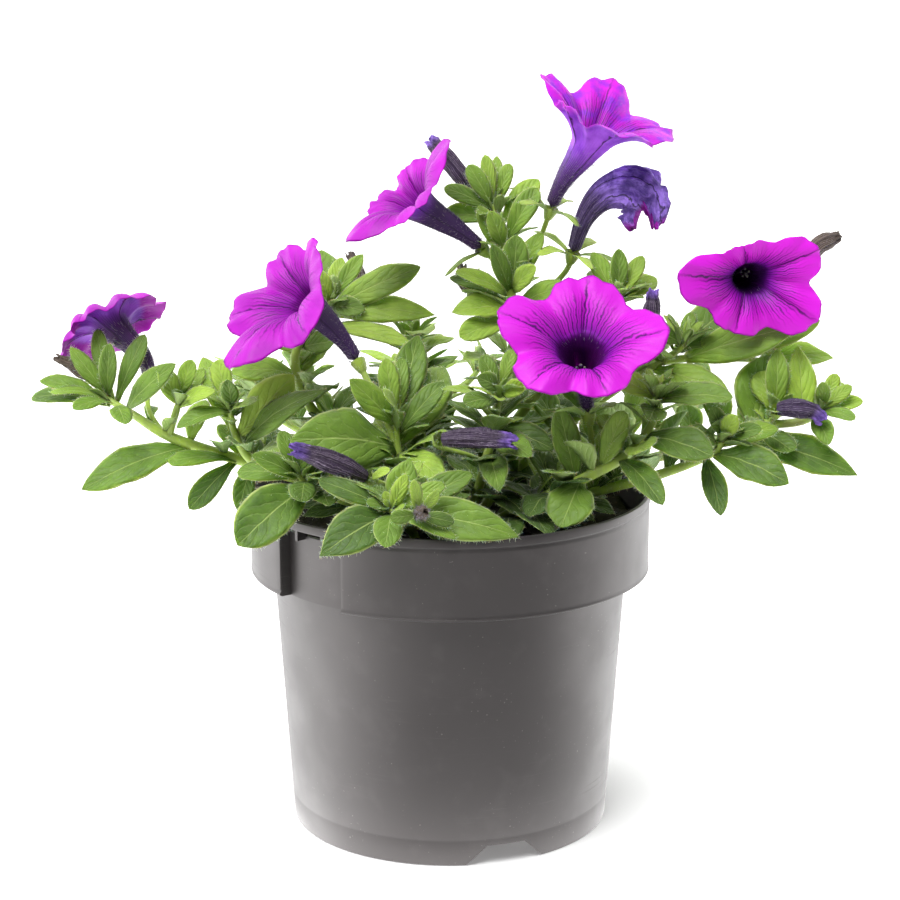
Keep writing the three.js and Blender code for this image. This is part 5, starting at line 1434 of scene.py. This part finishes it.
def leaf_sheets(bm, leaf, chance, hair_roots):
    along, across, normal = axes = leaf_axes(leaf)
    base, length = leaf["base"], (leaf["tip"] - leaf["base"]).length
    half = leaf["width"] / 2
    sepal = leaf.get("sepal", False)
    broad = leaf["width"] >= BROAD
    small = leaf["width"] < SMALL
    if sepal:
        length, half = length * SEPAL_LONGER, half * SEPAL_WIDER
    swell = chance.uniform(0.6, 0.95)
    blunt = chance.uniform(*((0.7, 1.2) if broad else (0.5, 0.55) if sepal else (0.5, 0.85)))
    share = swell / (swell + 2 * blunt)
    widest = share ** (swell / 2) * (2 * blunt / (swell + 2 * blunt)) ** blunt
    fold = chance.uniform(*((0.16, 0.34) if broad else (0.2, 0.5)))
    roll = chance.uniform(0.05, 0.22)
    waves, phase = chance.uniform(1.2, 2.6), chance.uniform(0, FULL_TURN)
    ruffle = chance.uniform(0.04, 0.14) * (1 if broad else 0.6)
    twist = math.radians(chance.uniform(-20, 20))
    curl = chance.uniform(-0.03, 0.10) * length
    tone = leaf_tone(leaf, chance, small or sepal)
    pucker, shift = (PUCKER if broad else PUCKER / 2), chance.uniform(0, FULL_TURN)

    def middle(u, t):
        """The middle of the blade, at u across it and t along it."""
        t = 1 - (1 - t) ** ROWS_TO_TIP
        outline = t ** swell * (1 - t * t) ** blunt / widest if 0 < t < 1 else 0
        wide = half * max(outline, PETIOLE * (1 - t))
        lift = fold * (abs(u) ** 1.4 - 0.45) * wide * ease(0, 0.2, t)
        lift -= roll * wide * abs(u) ** 5
        lift += ruffle * wide * u * u * math.sin(
            waves * FULL_TURN * t + phase + (1.4 if u > 0 else 0))
        lift += pucker * math.sin(7 * u + shift) * math.sin(length * 0.75 * t + shift) * outline
        lift += BLADE_ARCH * length * math.sin(math.pi * t) - curl * t ** 3
        side = circle(twist * t, across, normal)
        return base + along * length * t + side * wide * u + normal * lift

    def skin(way):
        """The upper side (1) or the under side (-1), with the midrib proud on that one."""
        def place(s, t):
            u = 2 * s - 1
            foot = min(1, t * 30)
            thick = LEAF_THICK / 2 * ((1 - u ** 6) * (1 - t ** 8) * foot)
            if way < 0:
                rib = math.exp(-(u / RIB_WIDE) ** 2) * (1 - t) * foot
                thick += RIB_PROUD * rib * (half / 6) ** 0.5
            return middle(u, t) + normal * thick * way
        return place

    grid = BROAD_GRID if broad else SMALL_GRID if small or sepal else MIDDLE_GRID
    grow(bm, *grid, skin(1), material=0, tone=tone)
    grow(bm, *grid, skin(-1), material=1, tone=tone, flip=True)
    count = int(length * (SEPAL_HAIRS if sepal else SMALL_HAIRS if small else LEAF_HAIRS))
    hair_roots.extend(leaf_hairs(middle, axes, count, chance))


print("a broad leaf has", 2 * BROAD_GRID[0] * BROAD_GRID[1], "faces")

# %% [markdown]
# Stems. A shoot is a grown sheet rolled into a tube along its route. It tapers towards its tip
# and swells a little at its foot, where it leaves its parent. A flower stalk ends in a calyx:
# a small green cup from which five narrow sepals spread.

# %% The tube
def tube_frames(points):
    """Each point with two directions square to the line there, carried without a twist."""
    frames = []
    across = square_to((points[1] - points[0]).normalized())[0]
    for k, point in enumerate(points):
        line = (points[min(k + 1, len(points) - 1)] - points[max(k - 1, 0)]).normalized()
        across = (across - line * across.dot(line)).normalized()
        frames.append((point, across, line.cross(across)))
    return frames


def tube(bm, points, radius_at, sides, material=0, tone=0.5):
    """A closed tube through the points, its radius a function of turn and length."""
    frames = tube_frames(points)
    last = len(points) - 1

    def place(s, t):
        k = round(t * last)
        point, *ring = frames[k]
        turn = FULL_TURN * s
        return point + circle(turn, *ring) * radius_at(turn, k / last)

    grow(bm, sides, last, place, material, tone)
    return frames


_, across, along = tube_frames([Vector(), UP])[0]
print("directions round an upright tube:", across[:], along[:])

# %% The stem
STEM_SIDES = 9
STEPS_A_SPAN = 5
STALK_RADIUS = 1.1
STEM_HAIRS, STALK_HAIRS = 3.0, 3.4


def stem_tube(bm, shoot, chance, hair_roots):
    stalk = shoot.radius <= STALK_RADIUS
    steps = (len(shoot.route) - 1) * STEPS_A_SPAN
    points = [route_point(shoot.route, k / steps) for k in range(steps + 1)]

    def radius(turn, t):
        foot = 0.35 * max(0, 1 - t * 8)
        tip = 1 if stalk else (1 - 0.45 * ease(0.6, 1, t)) * (t < 0.999)
        return shoot.radius * (0.92 + foot) * tip * (1 + 0.04 * math.sin(3 * turn + 9 * t))

    frames = tube(bm, points, radius, STEM_SIDES, material=2, tone=chance.uniform(0.3, 0.7))
    length = sum((b - a).length for a, b in zip(points, points[1:]))
    for _ in range(int(length * (STALK_HAIRS if stalk else STEM_HAIRS))):
        at = chance.uniform(0, len(frames) - 1.001)
        point, *ring = frames[int(at)]
        point = point.lerp(frames[int(at) + 1][0], at % 1)
        if point.z < POT_HEIGHT - 8:
            continue
        out = circle(chance.uniform(0, FULL_TURN), *ring)
        tilt = Vector([chance.uniform(-0.3, 0.3) for _ in range(3)])
        hair_roots.append((point + out * shoot.radius * 0.85, (out + tilt).normalized(),
                           chance.uniform(0.8, 1.8)))


print("a stem has", STEM_SIDES, "sides")

# %% The calyx cup
CUP_STEPS = 6
CUP_SIDES = 15
CUP_HAIRS = 70


def calyx_cup(bm, shoot, chance, hair_roots):
    top, line = shoot.tip()
    points = [top + line * (CALYX_LENGTH * (k / CUP_STEPS - 1) + 0.4) for k in range(CUP_STEPS + 1)]

    def radius(turn, t):
        if t < 0.01:
            return shoot.radius * 0.8
        flare = (CALYX_RADIUS * 1.08 - shoot.radius) * t ** 0.8
        return (shoot.radius + flare) * (1 + 0.07 * math.cos(SEPALS * turn))

    frames = tube(bm, points, radius, CUP_SIDES, material=2, tone=0.7)
    for _ in range(CUP_HAIRS):
        point, *ring = frames[chance.randrange(len(frames))]
        out = circle(chance.uniform(0, FULL_TURN), *ring) + line * chance.uniform(0, 0.5)
        hair_roots.append((point + out * CALYX_RADIUS * 0.8, out.normalized(),
                           chance.uniform(0.7, 1.5)))


print("a calyx cup is", CALYX_LENGTH, "mm long")

# %% [markdown]
# Down. A petunia is furry all over, and the fur is what gives leaves their pale outline. There are
# thousands of hairs, so each has only three narrow faces. One call lays out a long three-sided
# strip with two rows of points for each hair; the faces between hairs are deleted, and every hair
# is put on its root and narrows to a fine point.

# %% The hairs
HAIR_FOOT = 0.045
HAIR_POINT = 0.015
HAIR_SIDES = 3
HAIR_MERGE = 0.0005
DROOP = 0.12


def make_down(name, roots, finish=None):
    bm = bmesh.new()
    bm.loops.layers.uv.new("growth")
    rows = 2 * len(roots) - 1
    made = bmesh.ops.create_grid(bm, x_segments=HAIR_SIDES, y_segments=rows, size=0.5,
                                 calc_uvs=True)
    for face in bm.faces:
        face.smooth = True
    between = [face for face in bm.faces
               if int((face.calc_center_median().y + 0.5) * rows) % 2]
    bmesh.ops.delete(bm, geom=between, context="FACES_ONLY")
    for vert in made["verts"]:
        row = round((vert.co.y + 0.5) * rows)
        turn = round((vert.co.x + 0.5) * HAIR_SIDES) * FULL_TURN / HAIR_SIDES
        point, out, length = roots[row // 2]
        ring = circle(turn, *square_to(out))
        if row % 2:
            vert.co = point + out * length - UP * DROOP * length + ring * HAIR_POINT
        else:
            vert.co = point + ring * HAIR_FOOT
    finish_piece(bm, name, [finish or down], merge=HAIR_MERGE)


print("a hair is", 2 * HAIR_FOOT, "mm thick")

# %% [markdown]
# The leafy shoots. Each node of the frame becomes one piece of foliage, with all its stems, leaves
# and calyxes, and one piece of down. The foliage stands for the solid.

# %% Build the foliage
def foliage(short):
    node = "leafy_stem_" + short
    chance = random.Random(node)
    bm, hair_roots = new_mesh(), []
    for shoot in shoots.values():
        if shoot.node == node:
            stem_tube(bm, shoot, chance, hair_roots)
    for stalk, *_ in CALYXES:
        if shoots[stalk].node == node:
            calyx_cup(bm, shoots[stalk], chance, hair_roots)
    for leaf in leaves:
        if leaf["shoot"].node == node:
            leaf_sheets(bm, leaf, chance, hair_roots)
    finish_piece(bm, "foliage_" + short, [leaf_top, leaf_under, stem_skin], [node])
    make_down("down_" + short, hair_roots)
    return len(hair_roots)


hairs = sum(foliage(label) for label, *_ in STEMS)
print("hairs on the foliage:", hairs)

# %% [markdown]
# Open flowers. A petunia flower is one piece: a narrow tube that flares into a limb of five
# lobes. Seen as a sheet it grows round and outwards, so it is a grown grid, closed round, once
# for the inside and once for the outside, and the two meet at the rim. The line up the middle of
# a lobe bends steadily away from the flower's axis: a young lobe stays cupped, an old one rolls
# back past flat. The list gives each lobe its length and those two angles, and the turns between
# two midribs swell evenly from one to the other, with a notch where lobes meet. The skin is then
# pushed along its own normal: a crease at the midrib, soft waves and ruffles towards the rim.

# %% Lobe outline
NOTCH_SHARE = 0.26
NOTCH_SHARPNESS = 6
LOBE_COLUMNS = 22
LOBE_ROWS = 36
PETAL_THICK = 0.34
CREASE = 0.9
CREASE_WIDTH = 0.05
TIP_NICK = 0.04
NICK_WIDTH = 0.08


def lobe_value(lobes, k, turn):
    """A lobe's value k at a turn, smooth from midrib to midrib, and the share between those."""
    ordered = sorted((lobe[0], lobe[k]) for lobe in lobes)
    after = next((n for n, (at, _) in enumerate(ordered) if at > turn), 0)
    (low, a), (high, b) = ordered[after - 1], ordered[after]
    share = ((turn - low) % 360) / ((high - low) % 360)
    return a + (b - a) * (1 - math.cos(math.pi * share)) / 2, share


def along_lobe(lobes, turn, share, nick=0.0):
    """Out from the axis, forward along it, and the angle there, at a share of a lobe's line."""
    length, between = lobe_value(lobes, 1, turn)
    start, stop = [math.radians(lobe_value(lobes, k, turn)[0]) for k in (2, 3)]
    angle = start + (stop - start) * share
    notch = math.sin(math.pi * between) ** NOTCH_SHARPNESS
    bend = length * (1 - NOTCH_SHARE * notch - nick) / (stop - start)
    out, forward = math.cos(start) - math.cos(angle), math.sin(angle) - math.sin(start)
    return bend * out, bend * forward, angle


print("lobes meet at", 1 - NOTCH_SHARE, "of their length")

# %% Tube and throat
THROAT_AT = 0.3
DEEP = 0.35
TUBE_WALL = 0.4
ROUNDING = 0.1
ROUNDING_STEPS = (-1, -0.5, 0, 0.5, 1)
TUBE_WIDTHS = [(0, 1.9), (0.35, 2.5), (0.72, 3.9)]


def bloom_frame(row):
    """Start, bend and end of the tube, and the way the flower looks, with right and up."""
    _, stalk, throat, facing, *_ = row
    top, line = shoots[stalk].tip()
    throat, face = Vector(throat), Vector(facing).normalized()
    start = top + line * GAP
    bend = start + line * 0.45 * (throat - start).length
    right = Vector((1, 0, 0))
    right = (right - face * right.dot(face)).normalized()
    return start, bend, throat, face, right, face.cross(right)


def bezier(start, bend, end, t):
    point = start * (1 - t) ** 2 + bend * 2 * t * (1 - t) + end * t * t
    line = ((bend - start) * (1 - t) + (end - bend) * t).normalized()
    return point, line


def tube_width(t, throat_radius):
    stops = [*TUBE_WIDTHS, (1, throat_radius + TUBE_WALL)]
    for (a, wide_a), (b, wide_b) in zip(stops, stops[1:]):
        if t <= b:
            return wide_a + (wide_b - wide_a) * ((t - a) / (b - a))
    return stops[-1][1]


print("a flower's tube is", round(2 * tube_width(0.5, 5), 1), "mm thick half way up")

# %% One open flower
# Up to 1 the tone paints shade into a flower's inside; from 1 to 2 it turns the flower violet.
BLOOM_LOOKS = {  # how strongly the rim is ruffled, and the tone
    "bloom_top": (1.0, 1.9), "bloom_upper_left": (0.9, 0.9), "bloom_left": (1.1, 0.85),
    "bloom_front": (1.0, 0.3), "bloom_right": (1.0, 0.05), "bloom_far_left": (1.1, 1.0),
}
BLOOM_HAIRS = 600


def bloom(row):
    name, _, _, _, throat_radius, *lobes = row
    start, bend, throat, face, right, up = bloom_frame(row)
    chance = random.Random(name)
    ribs = sorted(lobe[0] for lobe in lobes)
    ruffle, tone = BLOOM_LOOKS[name]
    phase = chance.uniform(0, FULL_TURN)
    slants = [chance.uniform(-1, 1) for _ in lobes]

    def turn_at(s):
        k = min(int(s * LOBES), LOBES - 1)
        span = (ribs[(k + 1) % LOBES] - ribs[k]) % 360
        return (ribs[k] + span * (s * LOBES - k)) % 360, k, s * LOBES - k

    def limb(s, share, below):
        turn, k, between = turn_at(s)
        off_rib = min(between, 1 - between)
        fray = 0.008 * math.sin(off_rib * 41 + phase + k) + 0.005 * math.sin(s * 190 + phase)
        nick = (fray - TIP_NICK * math.exp(-(off_rib / NICK_WIDTH) ** 2)) * share
        out, forward, angle = along_lobe(lobes, turn, share, nick)
        side = circle(math.radians(turn), right, up)
        normal = face * math.sin(angle) - side * math.cos(angle)
        crease = math.exp(-(off_rib / CREASE_WIDTH) ** 2)
        push = -CREASE * crease * math.sin(math.pi * min(1, share))
        push += 0.9 * math.sin(FULL_TURN * off_rib) * math.sin(math.pi * share) ** 2
        swing = slants[k] * (1 - between) + slants[(k + 1) % LOBES] * between
        wave = math.sin(2 * FULL_TURN * between + phase + k)
        push += ruffle * share ** 2.2 * wave * (0.6 + 0.3 * swing)
        push += 0.3 * ruffle * share ** 4 * math.sin(5.3 * FULL_TURN * between + 2 * phase)
        push -= below * (1 - share ** 10) * PETAL_THICK
        return throat + side * (throat_radius + out) + face * forward + normal * push

    def ring(t, radius, turn):
        centre, line = bezier(start, bend, throat, t)
        across = (right - line * right.dot(line)).normalized()
        return centre + circle(math.radians(turn), across, line.cross(across)) * radius

    def raw(s, q, below):
        if q > THROAT_AT:
            return limb(s, (q - THROAT_AT) / (1 - THROAT_AT), below)
        t = q / THROAT_AT if below else DEEP + (1 - DEEP) * q / THROAT_AT
        if q <= 0:
            return bezier(start, bend, throat, t)[0]
        turn = turn_at(s)[0]
        width = tube_width(t, throat_radius)
        if below:
            ribbing = 1 + 0.05 * math.cos(math.radians((turn - ribs[0]) * LOBES))
            return ring(t, width * ribbing, turn)
        return ring(t, width - TUBE_WALL, turn)

    def place(below):
        def at(s, q):
            """The corner between tube and limb rounded by averaging along the petal."""
            reach = ROUNDING * ease(0.02, THROAT_AT, q) * ease(1, 0.6, q)
            near = [raw(s, min(1, max(0, q + reach * step)), below) for step in ROUNDING_STEPS]
            return sum(near, Vector()) / len(near)
        return at

    bm = new_mesh()
    columns = LOBES * LOBE_COLUMNS
    grow(bm, columns, LOBE_ROWS, place(0), material=0, tone=tone)
    grow(bm, columns, LOBE_ROWS, place(1), material=1, tone=tone, flip=True)
    finish_piece(bm, name.replace("bloom", "petals"), [petal_inside, petal_outside],
                 [name])
    fur = []
    for _ in range(BLOOM_HAIRS):
        t, turn = chance.uniform(0.02, 1) ** 1.2, chance.uniform(0, 360)
        centre, line = bezier(start, bend, throat, t)
        point = ring(t, tube_width(t, throat_radius), turn)
        out = (point - centre).normalized() + line * chance.uniform(0.2, 1.4)
        fur.append((point, out.normalized(), chance.uniform(0.7, 1.8)))
    make_down("down_" + name, fur, dark_down)
    return columns * LOBE_ROWS * 2


print("faces of the open flowers:", sum(map(bloom, BLOOMS)))

# %% [markdown]
# In the throat stand five stamens and a style, each a thin stalk with a small knob. They sit
# deep, so only their tips catch a little light.

# %% Stamens and style
STAMEN_SIDES = 6
STAMENS = 5
STAMEN_STEPS = 5
KNOB = [0.25, 0.6, 0.85]
STAMEN_WIDTHS = [0.0, 0.18, 0.18, 0.18, 0.18, 0.2, 0.5, 0.45, 0.0]


def stamens(row):
    start, bend, throat, face, right, up = bloom_frame(row)
    bm = new_mesh()
    foot = bezier(start, bend, throat, 0.45)[0]
    for k in range(STAMENS + 1):
        aside, deep = (0.0, 4.2) if k == STAMENS else (1.3, 5.6)
        side = circle(math.radians(k * 360 / STAMENS + 20), right, up) * aside
        tip = throat + side - face * deep
        points = [foot.lerp(tip, n / STAMEN_STEPS)
                  + side * math.sin(math.pi * n / STAMEN_STEPS) * 0.3
                  for n in range(STAMEN_STEPS + 1)]
        points += [tip + face * ahead for ahead in KNOB]
        tube(bm, points, lambda turn, t: STAMEN_WIDTHS[round(t * 8)], STAMEN_SIDES)
    finish_piece(bm, row[0].replace("bloom", "stamens"), [anther])


for row in BLOOMS:
    stamens(row)
print("stamens in", len(BLOOMS), "flowers")

# %% [markdown]
# Withered flowers and buds. When a petunia flower dies its limb collapses and the whole tube
# shrivels to a ribbed, twisted spindle. Each is a grown sheet rolled along its route: it runs up
# to a ragged rim and a little way back inside, so its end is a crumpled mouth. Pleats run along
# it and deepen towards that end, and it is flatter one way than the other.

# %% Withered flowers
SPENT_COLUMNS = 72
SPENT_ROWS = 44
SPENT_STEPS = 60
RIM_AT = 0.86
MOUTH = 0.22
MOUTH_SHARE = 0.93
SPENT_HAIRS = 220
SPENT_TONE = 0.22
SPENT_TONES = {
    "bloom_wilted": -0.5, "spent_bloom_far_left": 0.95, "spent_bloom_right": 0.8,
    "spent_bloom_upper_left": 0.75, "bud_front": 0.9, "spent_bloom_shaded": 0.8,
    "spent_bloom_far_right": 0.1,
}


def spent(row):
    name, stalk, radii, *points = row
    top, line = shoots[stalk].tip()
    route = [top + line * GAP, *map(Vector, points)]
    chance = random.Random(name)
    steps = len(radii)
    wilted = name == "bloom_wilted"
    phase = chance.uniform(0, FULL_TURN)
    flat = 0 if wilted else chance.uniform(0, math.pi)
    rough = 1.3 if wilted else 0.7
    plump = 0.12 if wilted else 0
    frames = tube_frames([route_point(route, k / SPENT_STEPS) for k in range(SPENT_STEPS + 1)])

    def thickness(t):
        place = min(t * steps, steps - 0.001)
        k = int(place)
        after = radii[k + 1] if k + 1 < steps else radii[-1] * 0.8
        return radii[k] + (after - radii[k]) * (place - k)

    def girth(turn, t):
        """The radius there, with the skin folded in or out by a share of it."""
        late = ease(0.3, 1, t) * rough
        folds = 0.12 * math.cos(7 * turn + phase + 1.6 * t)
        folds += 0.08 * math.cos(13 * turn - 2.4 * t + phase)
        folds += late * 0.30 * (0.6 - abs(math.sin(2.5 * turn + 4 * t + phase)))
        folds += late * 0.20 * (0.6 - abs(math.sin(4 * turn - 7 * t + 2 * phase)))
        where = Vector((2.2 * math.cos(turn), 2.2 * math.sin(turn), 9 * t + phase))
        folds += late * 0.40 * folds_noise.noise(where)
        folds += late * 0.30 * abs(folds_noise.noise(where * 2.3))
        squash = 0.24 * ease(0.2, 0.8, t) * math.cos(2 * (turn - flat))
        return thickness(t) * (0.92 + plump * late + folds * (0.4 + 0.6 * t) - squash)

    def skin(turn, t, radius):
        tatter = 1 + math.sin(3 * turn + phase) + 0.25 * math.sin(11 * turn)
        share = t * (1 - rough * 0.07 * ease(0.5, 1, t) * tatter)
        _, *ring = frames[min(SPENT_STEPS, round(share * SPENT_STEPS))]
        return route_point(route, min(1, share)) + circle(turn, *ring) * radius

    def place(s, q):
        turn = FULL_TURN * s
        if q <= 0:
            return route[0]
        if q >= 1:
            return route_point(route, (1 - MOUTH) * MOUTH_SHARE)
        if q <= RIM_AT:
            return skin(turn, q / RIM_AT, girth(turn, q / RIM_AT))
        back = (q - RIM_AT) / (1 - RIM_AT)
        return skin(turn, 1 - MOUTH * back, girth(turn, 1) * (MOUTH_SHARE - 0.85 * back ** 1.5))

    bm = new_mesh()
    grow(bm, SPENT_COLUMNS, SPENT_ROWS, place, tone=SPENT_TONES.get(name, SPENT_TONE))
    short = name.replace("spent_bloom_", "").replace("bloom_", "")
    finish_piece(bm, "withered_" + short, [petal_spent], [name])
    fur = []
    for _ in range(SPENT_HAIRS):
        turn, t = chance.uniform(0, FULL_TURN), chance.uniform(0.02, 0.8) ** 1.2
        point, centre = skin(turn, t, girth(turn, t) * 0.97), skin(turn, t, 0)
        ahead = (route_point(route, t + 0.05) - centre).normalized()
        out = (point - centre).normalized() + ahead * chance.uniform(0, 0.8)
        fur.append((point, out.normalized(), chance.uniform(0.5, 1.3)))
    make_down("down_" + name, fur, dark_down)


for row in SPENT:
    spent(row)
print("withered flowers and buds:", len(SPENT))

# %% [markdown]
# The stage. A plain pale sweep, floor and backdrop in one, keeps the eye on the plant. The camera
# sees it white, but for a painted shadow round the pot's foot. The plant sees what a pot on a dim
# table would: a floor that glows behind it and to its left, close to its foot, and hardly at all in
# front, which leaves the pot dark there.

# %% Floor
FLOOR_SIZE = 3.0
SWEEP_FROM = 0.9
SWEEP_BEND = 0.8
FLOOR_GLOW = (0.02, 2.5)
# How bright the floor stays for the camera at the pot's foot: a painted shadow.
FOOT_PAINTED_SHADOW = 0.15
LEFT_GLOW = 1.35
FOOT_GLOW = 3.0
BEHIND = (-0.07, 0.998, 0)
LEFT = (-1, 0, 0)

finish = Finish("stage white", 0.8, Emission_Color=(1, 1, 1, 1))
place = finish.value("ShaderNodeTexCoord", "Object")
away = finish.value("ShaderNodeVectorMath", "Value", {0: place}, operation="LENGTH")
way = finish.value("ShaderNodeVectorMath", 0, {0: place}, operation="NORMALIZE")
behind, leftwards = [
    finish.value("ShaderNodeVectorMath", "Value", {0: way, 1: side}, operation="DOT_PRODUCT")
    for side in (BEHIND, LEFT)]
glow = behind.smooth(-0.75, 0, *FLOOR_GLOW) - behind.smooth(0.3, 0.9, 0, 1.2)
glow += leftwards.smooth(0.2, 0.9, 0, LEFT_GLOW) * behind.smooth(0.2, -0.3)
glow += away.smooth(0.095, 0.05, 0, FOOT_GLOW) * behind.smooth(0.1, -0.6)
# What the camera sees: white, with a painted shadow close round the pot's foot.
camera_white_painted_shadow = away.smooth(0.04, 0.13, FOOT_PAINTED_SHADOW, 1)
seen = finish.value("ShaderNodeLightPath", "Is Camera Ray")
finish.wire("Emission Strength", seen * (camera_white_painted_shadow - glow) + glow)
floor_white = finish.done(finish.noise(2, 1).mix((0.60, 0.60, 0.60), (0.62, 0.62, 0.62)))

bm = bmesh.new()
bmesh.ops.create_grid(bm, x_segments=2, y_segments=40, size=FLOOR_SIZE)
for vert in bm.verts:
    vert.co.z = SWEEP_BEND * max(0.0, vert.co.y - SWEEP_FROM) ** 2
for face in bm.faces:
    face.smooth = True
mesh = bpy.data.meshes.new("stage_sweep")
bm.to_mesh(mesh)
bm.free()
sweep = bpy.data.objects.new("stage_sweep", mesh)
bpy.context.collection.objects.link(sweep)
mesh.materials.append(floor_white)
sweep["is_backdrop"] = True
print("floor:", 2 * FLOOR_SIZE, "m wide")

# %% [markdown]
# The light is a photographer's: one large soft box overhead and a strong one on each side that
# draws a light edge down the pot. The surround is bright behind and beside the plant and dim on
# the camera's side, and shiny things see more of it on the left.

# %% Lights and surround
SURROUND_LEFT = 2.0
SURROUND_FRONT = 0.05
SURROUND_BACK = 1.0


def softbox(name, place, aim, size, power):
    light = bpy.data.lights.new(name, "AREA")
    light.shape = "RECTANGLE"
    light.size, light.size_y = size
    light.energy = power
    box = bpy.data.objects.new(name, light)
    bpy.context.collection.objects.link(box)
    box.location = place
    box.rotation_euler = (Vector(aim) - Vector(place)).to_track_quat("-Z", "Y").to_euler()


softbox("top light", (-0.35, -0.65, 1.30), (0, 0, 0.14), (0.9, 0.9), 35)
softbox("left light", (-0.9, 0.45, 0.35), (0, 0, 0.10), (0.6, 0.7), 4)
softbox("right light", (0.9, 0.45, 0.35), (0, 0, 0.10), (0.6, 0.7), 3.5)

world = bpy.data.worlds.new("studio")
world.use_nodes = True
bpy.context.scene.world = world
surround = Network(world.node_tree)
background = world.node_tree.nodes["Background"]
background.inputs["Color"].default_value = (1, 1, 1, 1)
towards = surround.value("ShaderNodeTexCoord", "Generated")
x, y = [surround.value("ShaderNodeSeparateXYZ", k, {0: towards}) for k in (0, 1)]
bright = y.smooth(-0.8, 0.35, SURROUND_FRONT, SURROUND_BACK)
leftwards = x.smooth(-0.2, -0.9, 0, SURROUND_LEFT) * y.smooth(0.5, -0.1)
glossy, seen = [surround.value("ShaderNodeLightPath", f"Is {ray} Ray")
                for ray in ("Glossy", "Camera")]
strength = seen.math("MAXIMUM", seen, leftwards * glossy + bright)
world.node_tree.links.new(strength.socket, background.inputs["Strength"])

# %% [markdown]
# Last, the sizes are printed: the box of the solids and the box of the finished plant.

# %% Sizes and finish
new_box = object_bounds()
for before, after in zip(cad_box, new_box):
    print("box corner, solids and plant:", *[[round(x, 4) for x in box] for box in (before, after)])
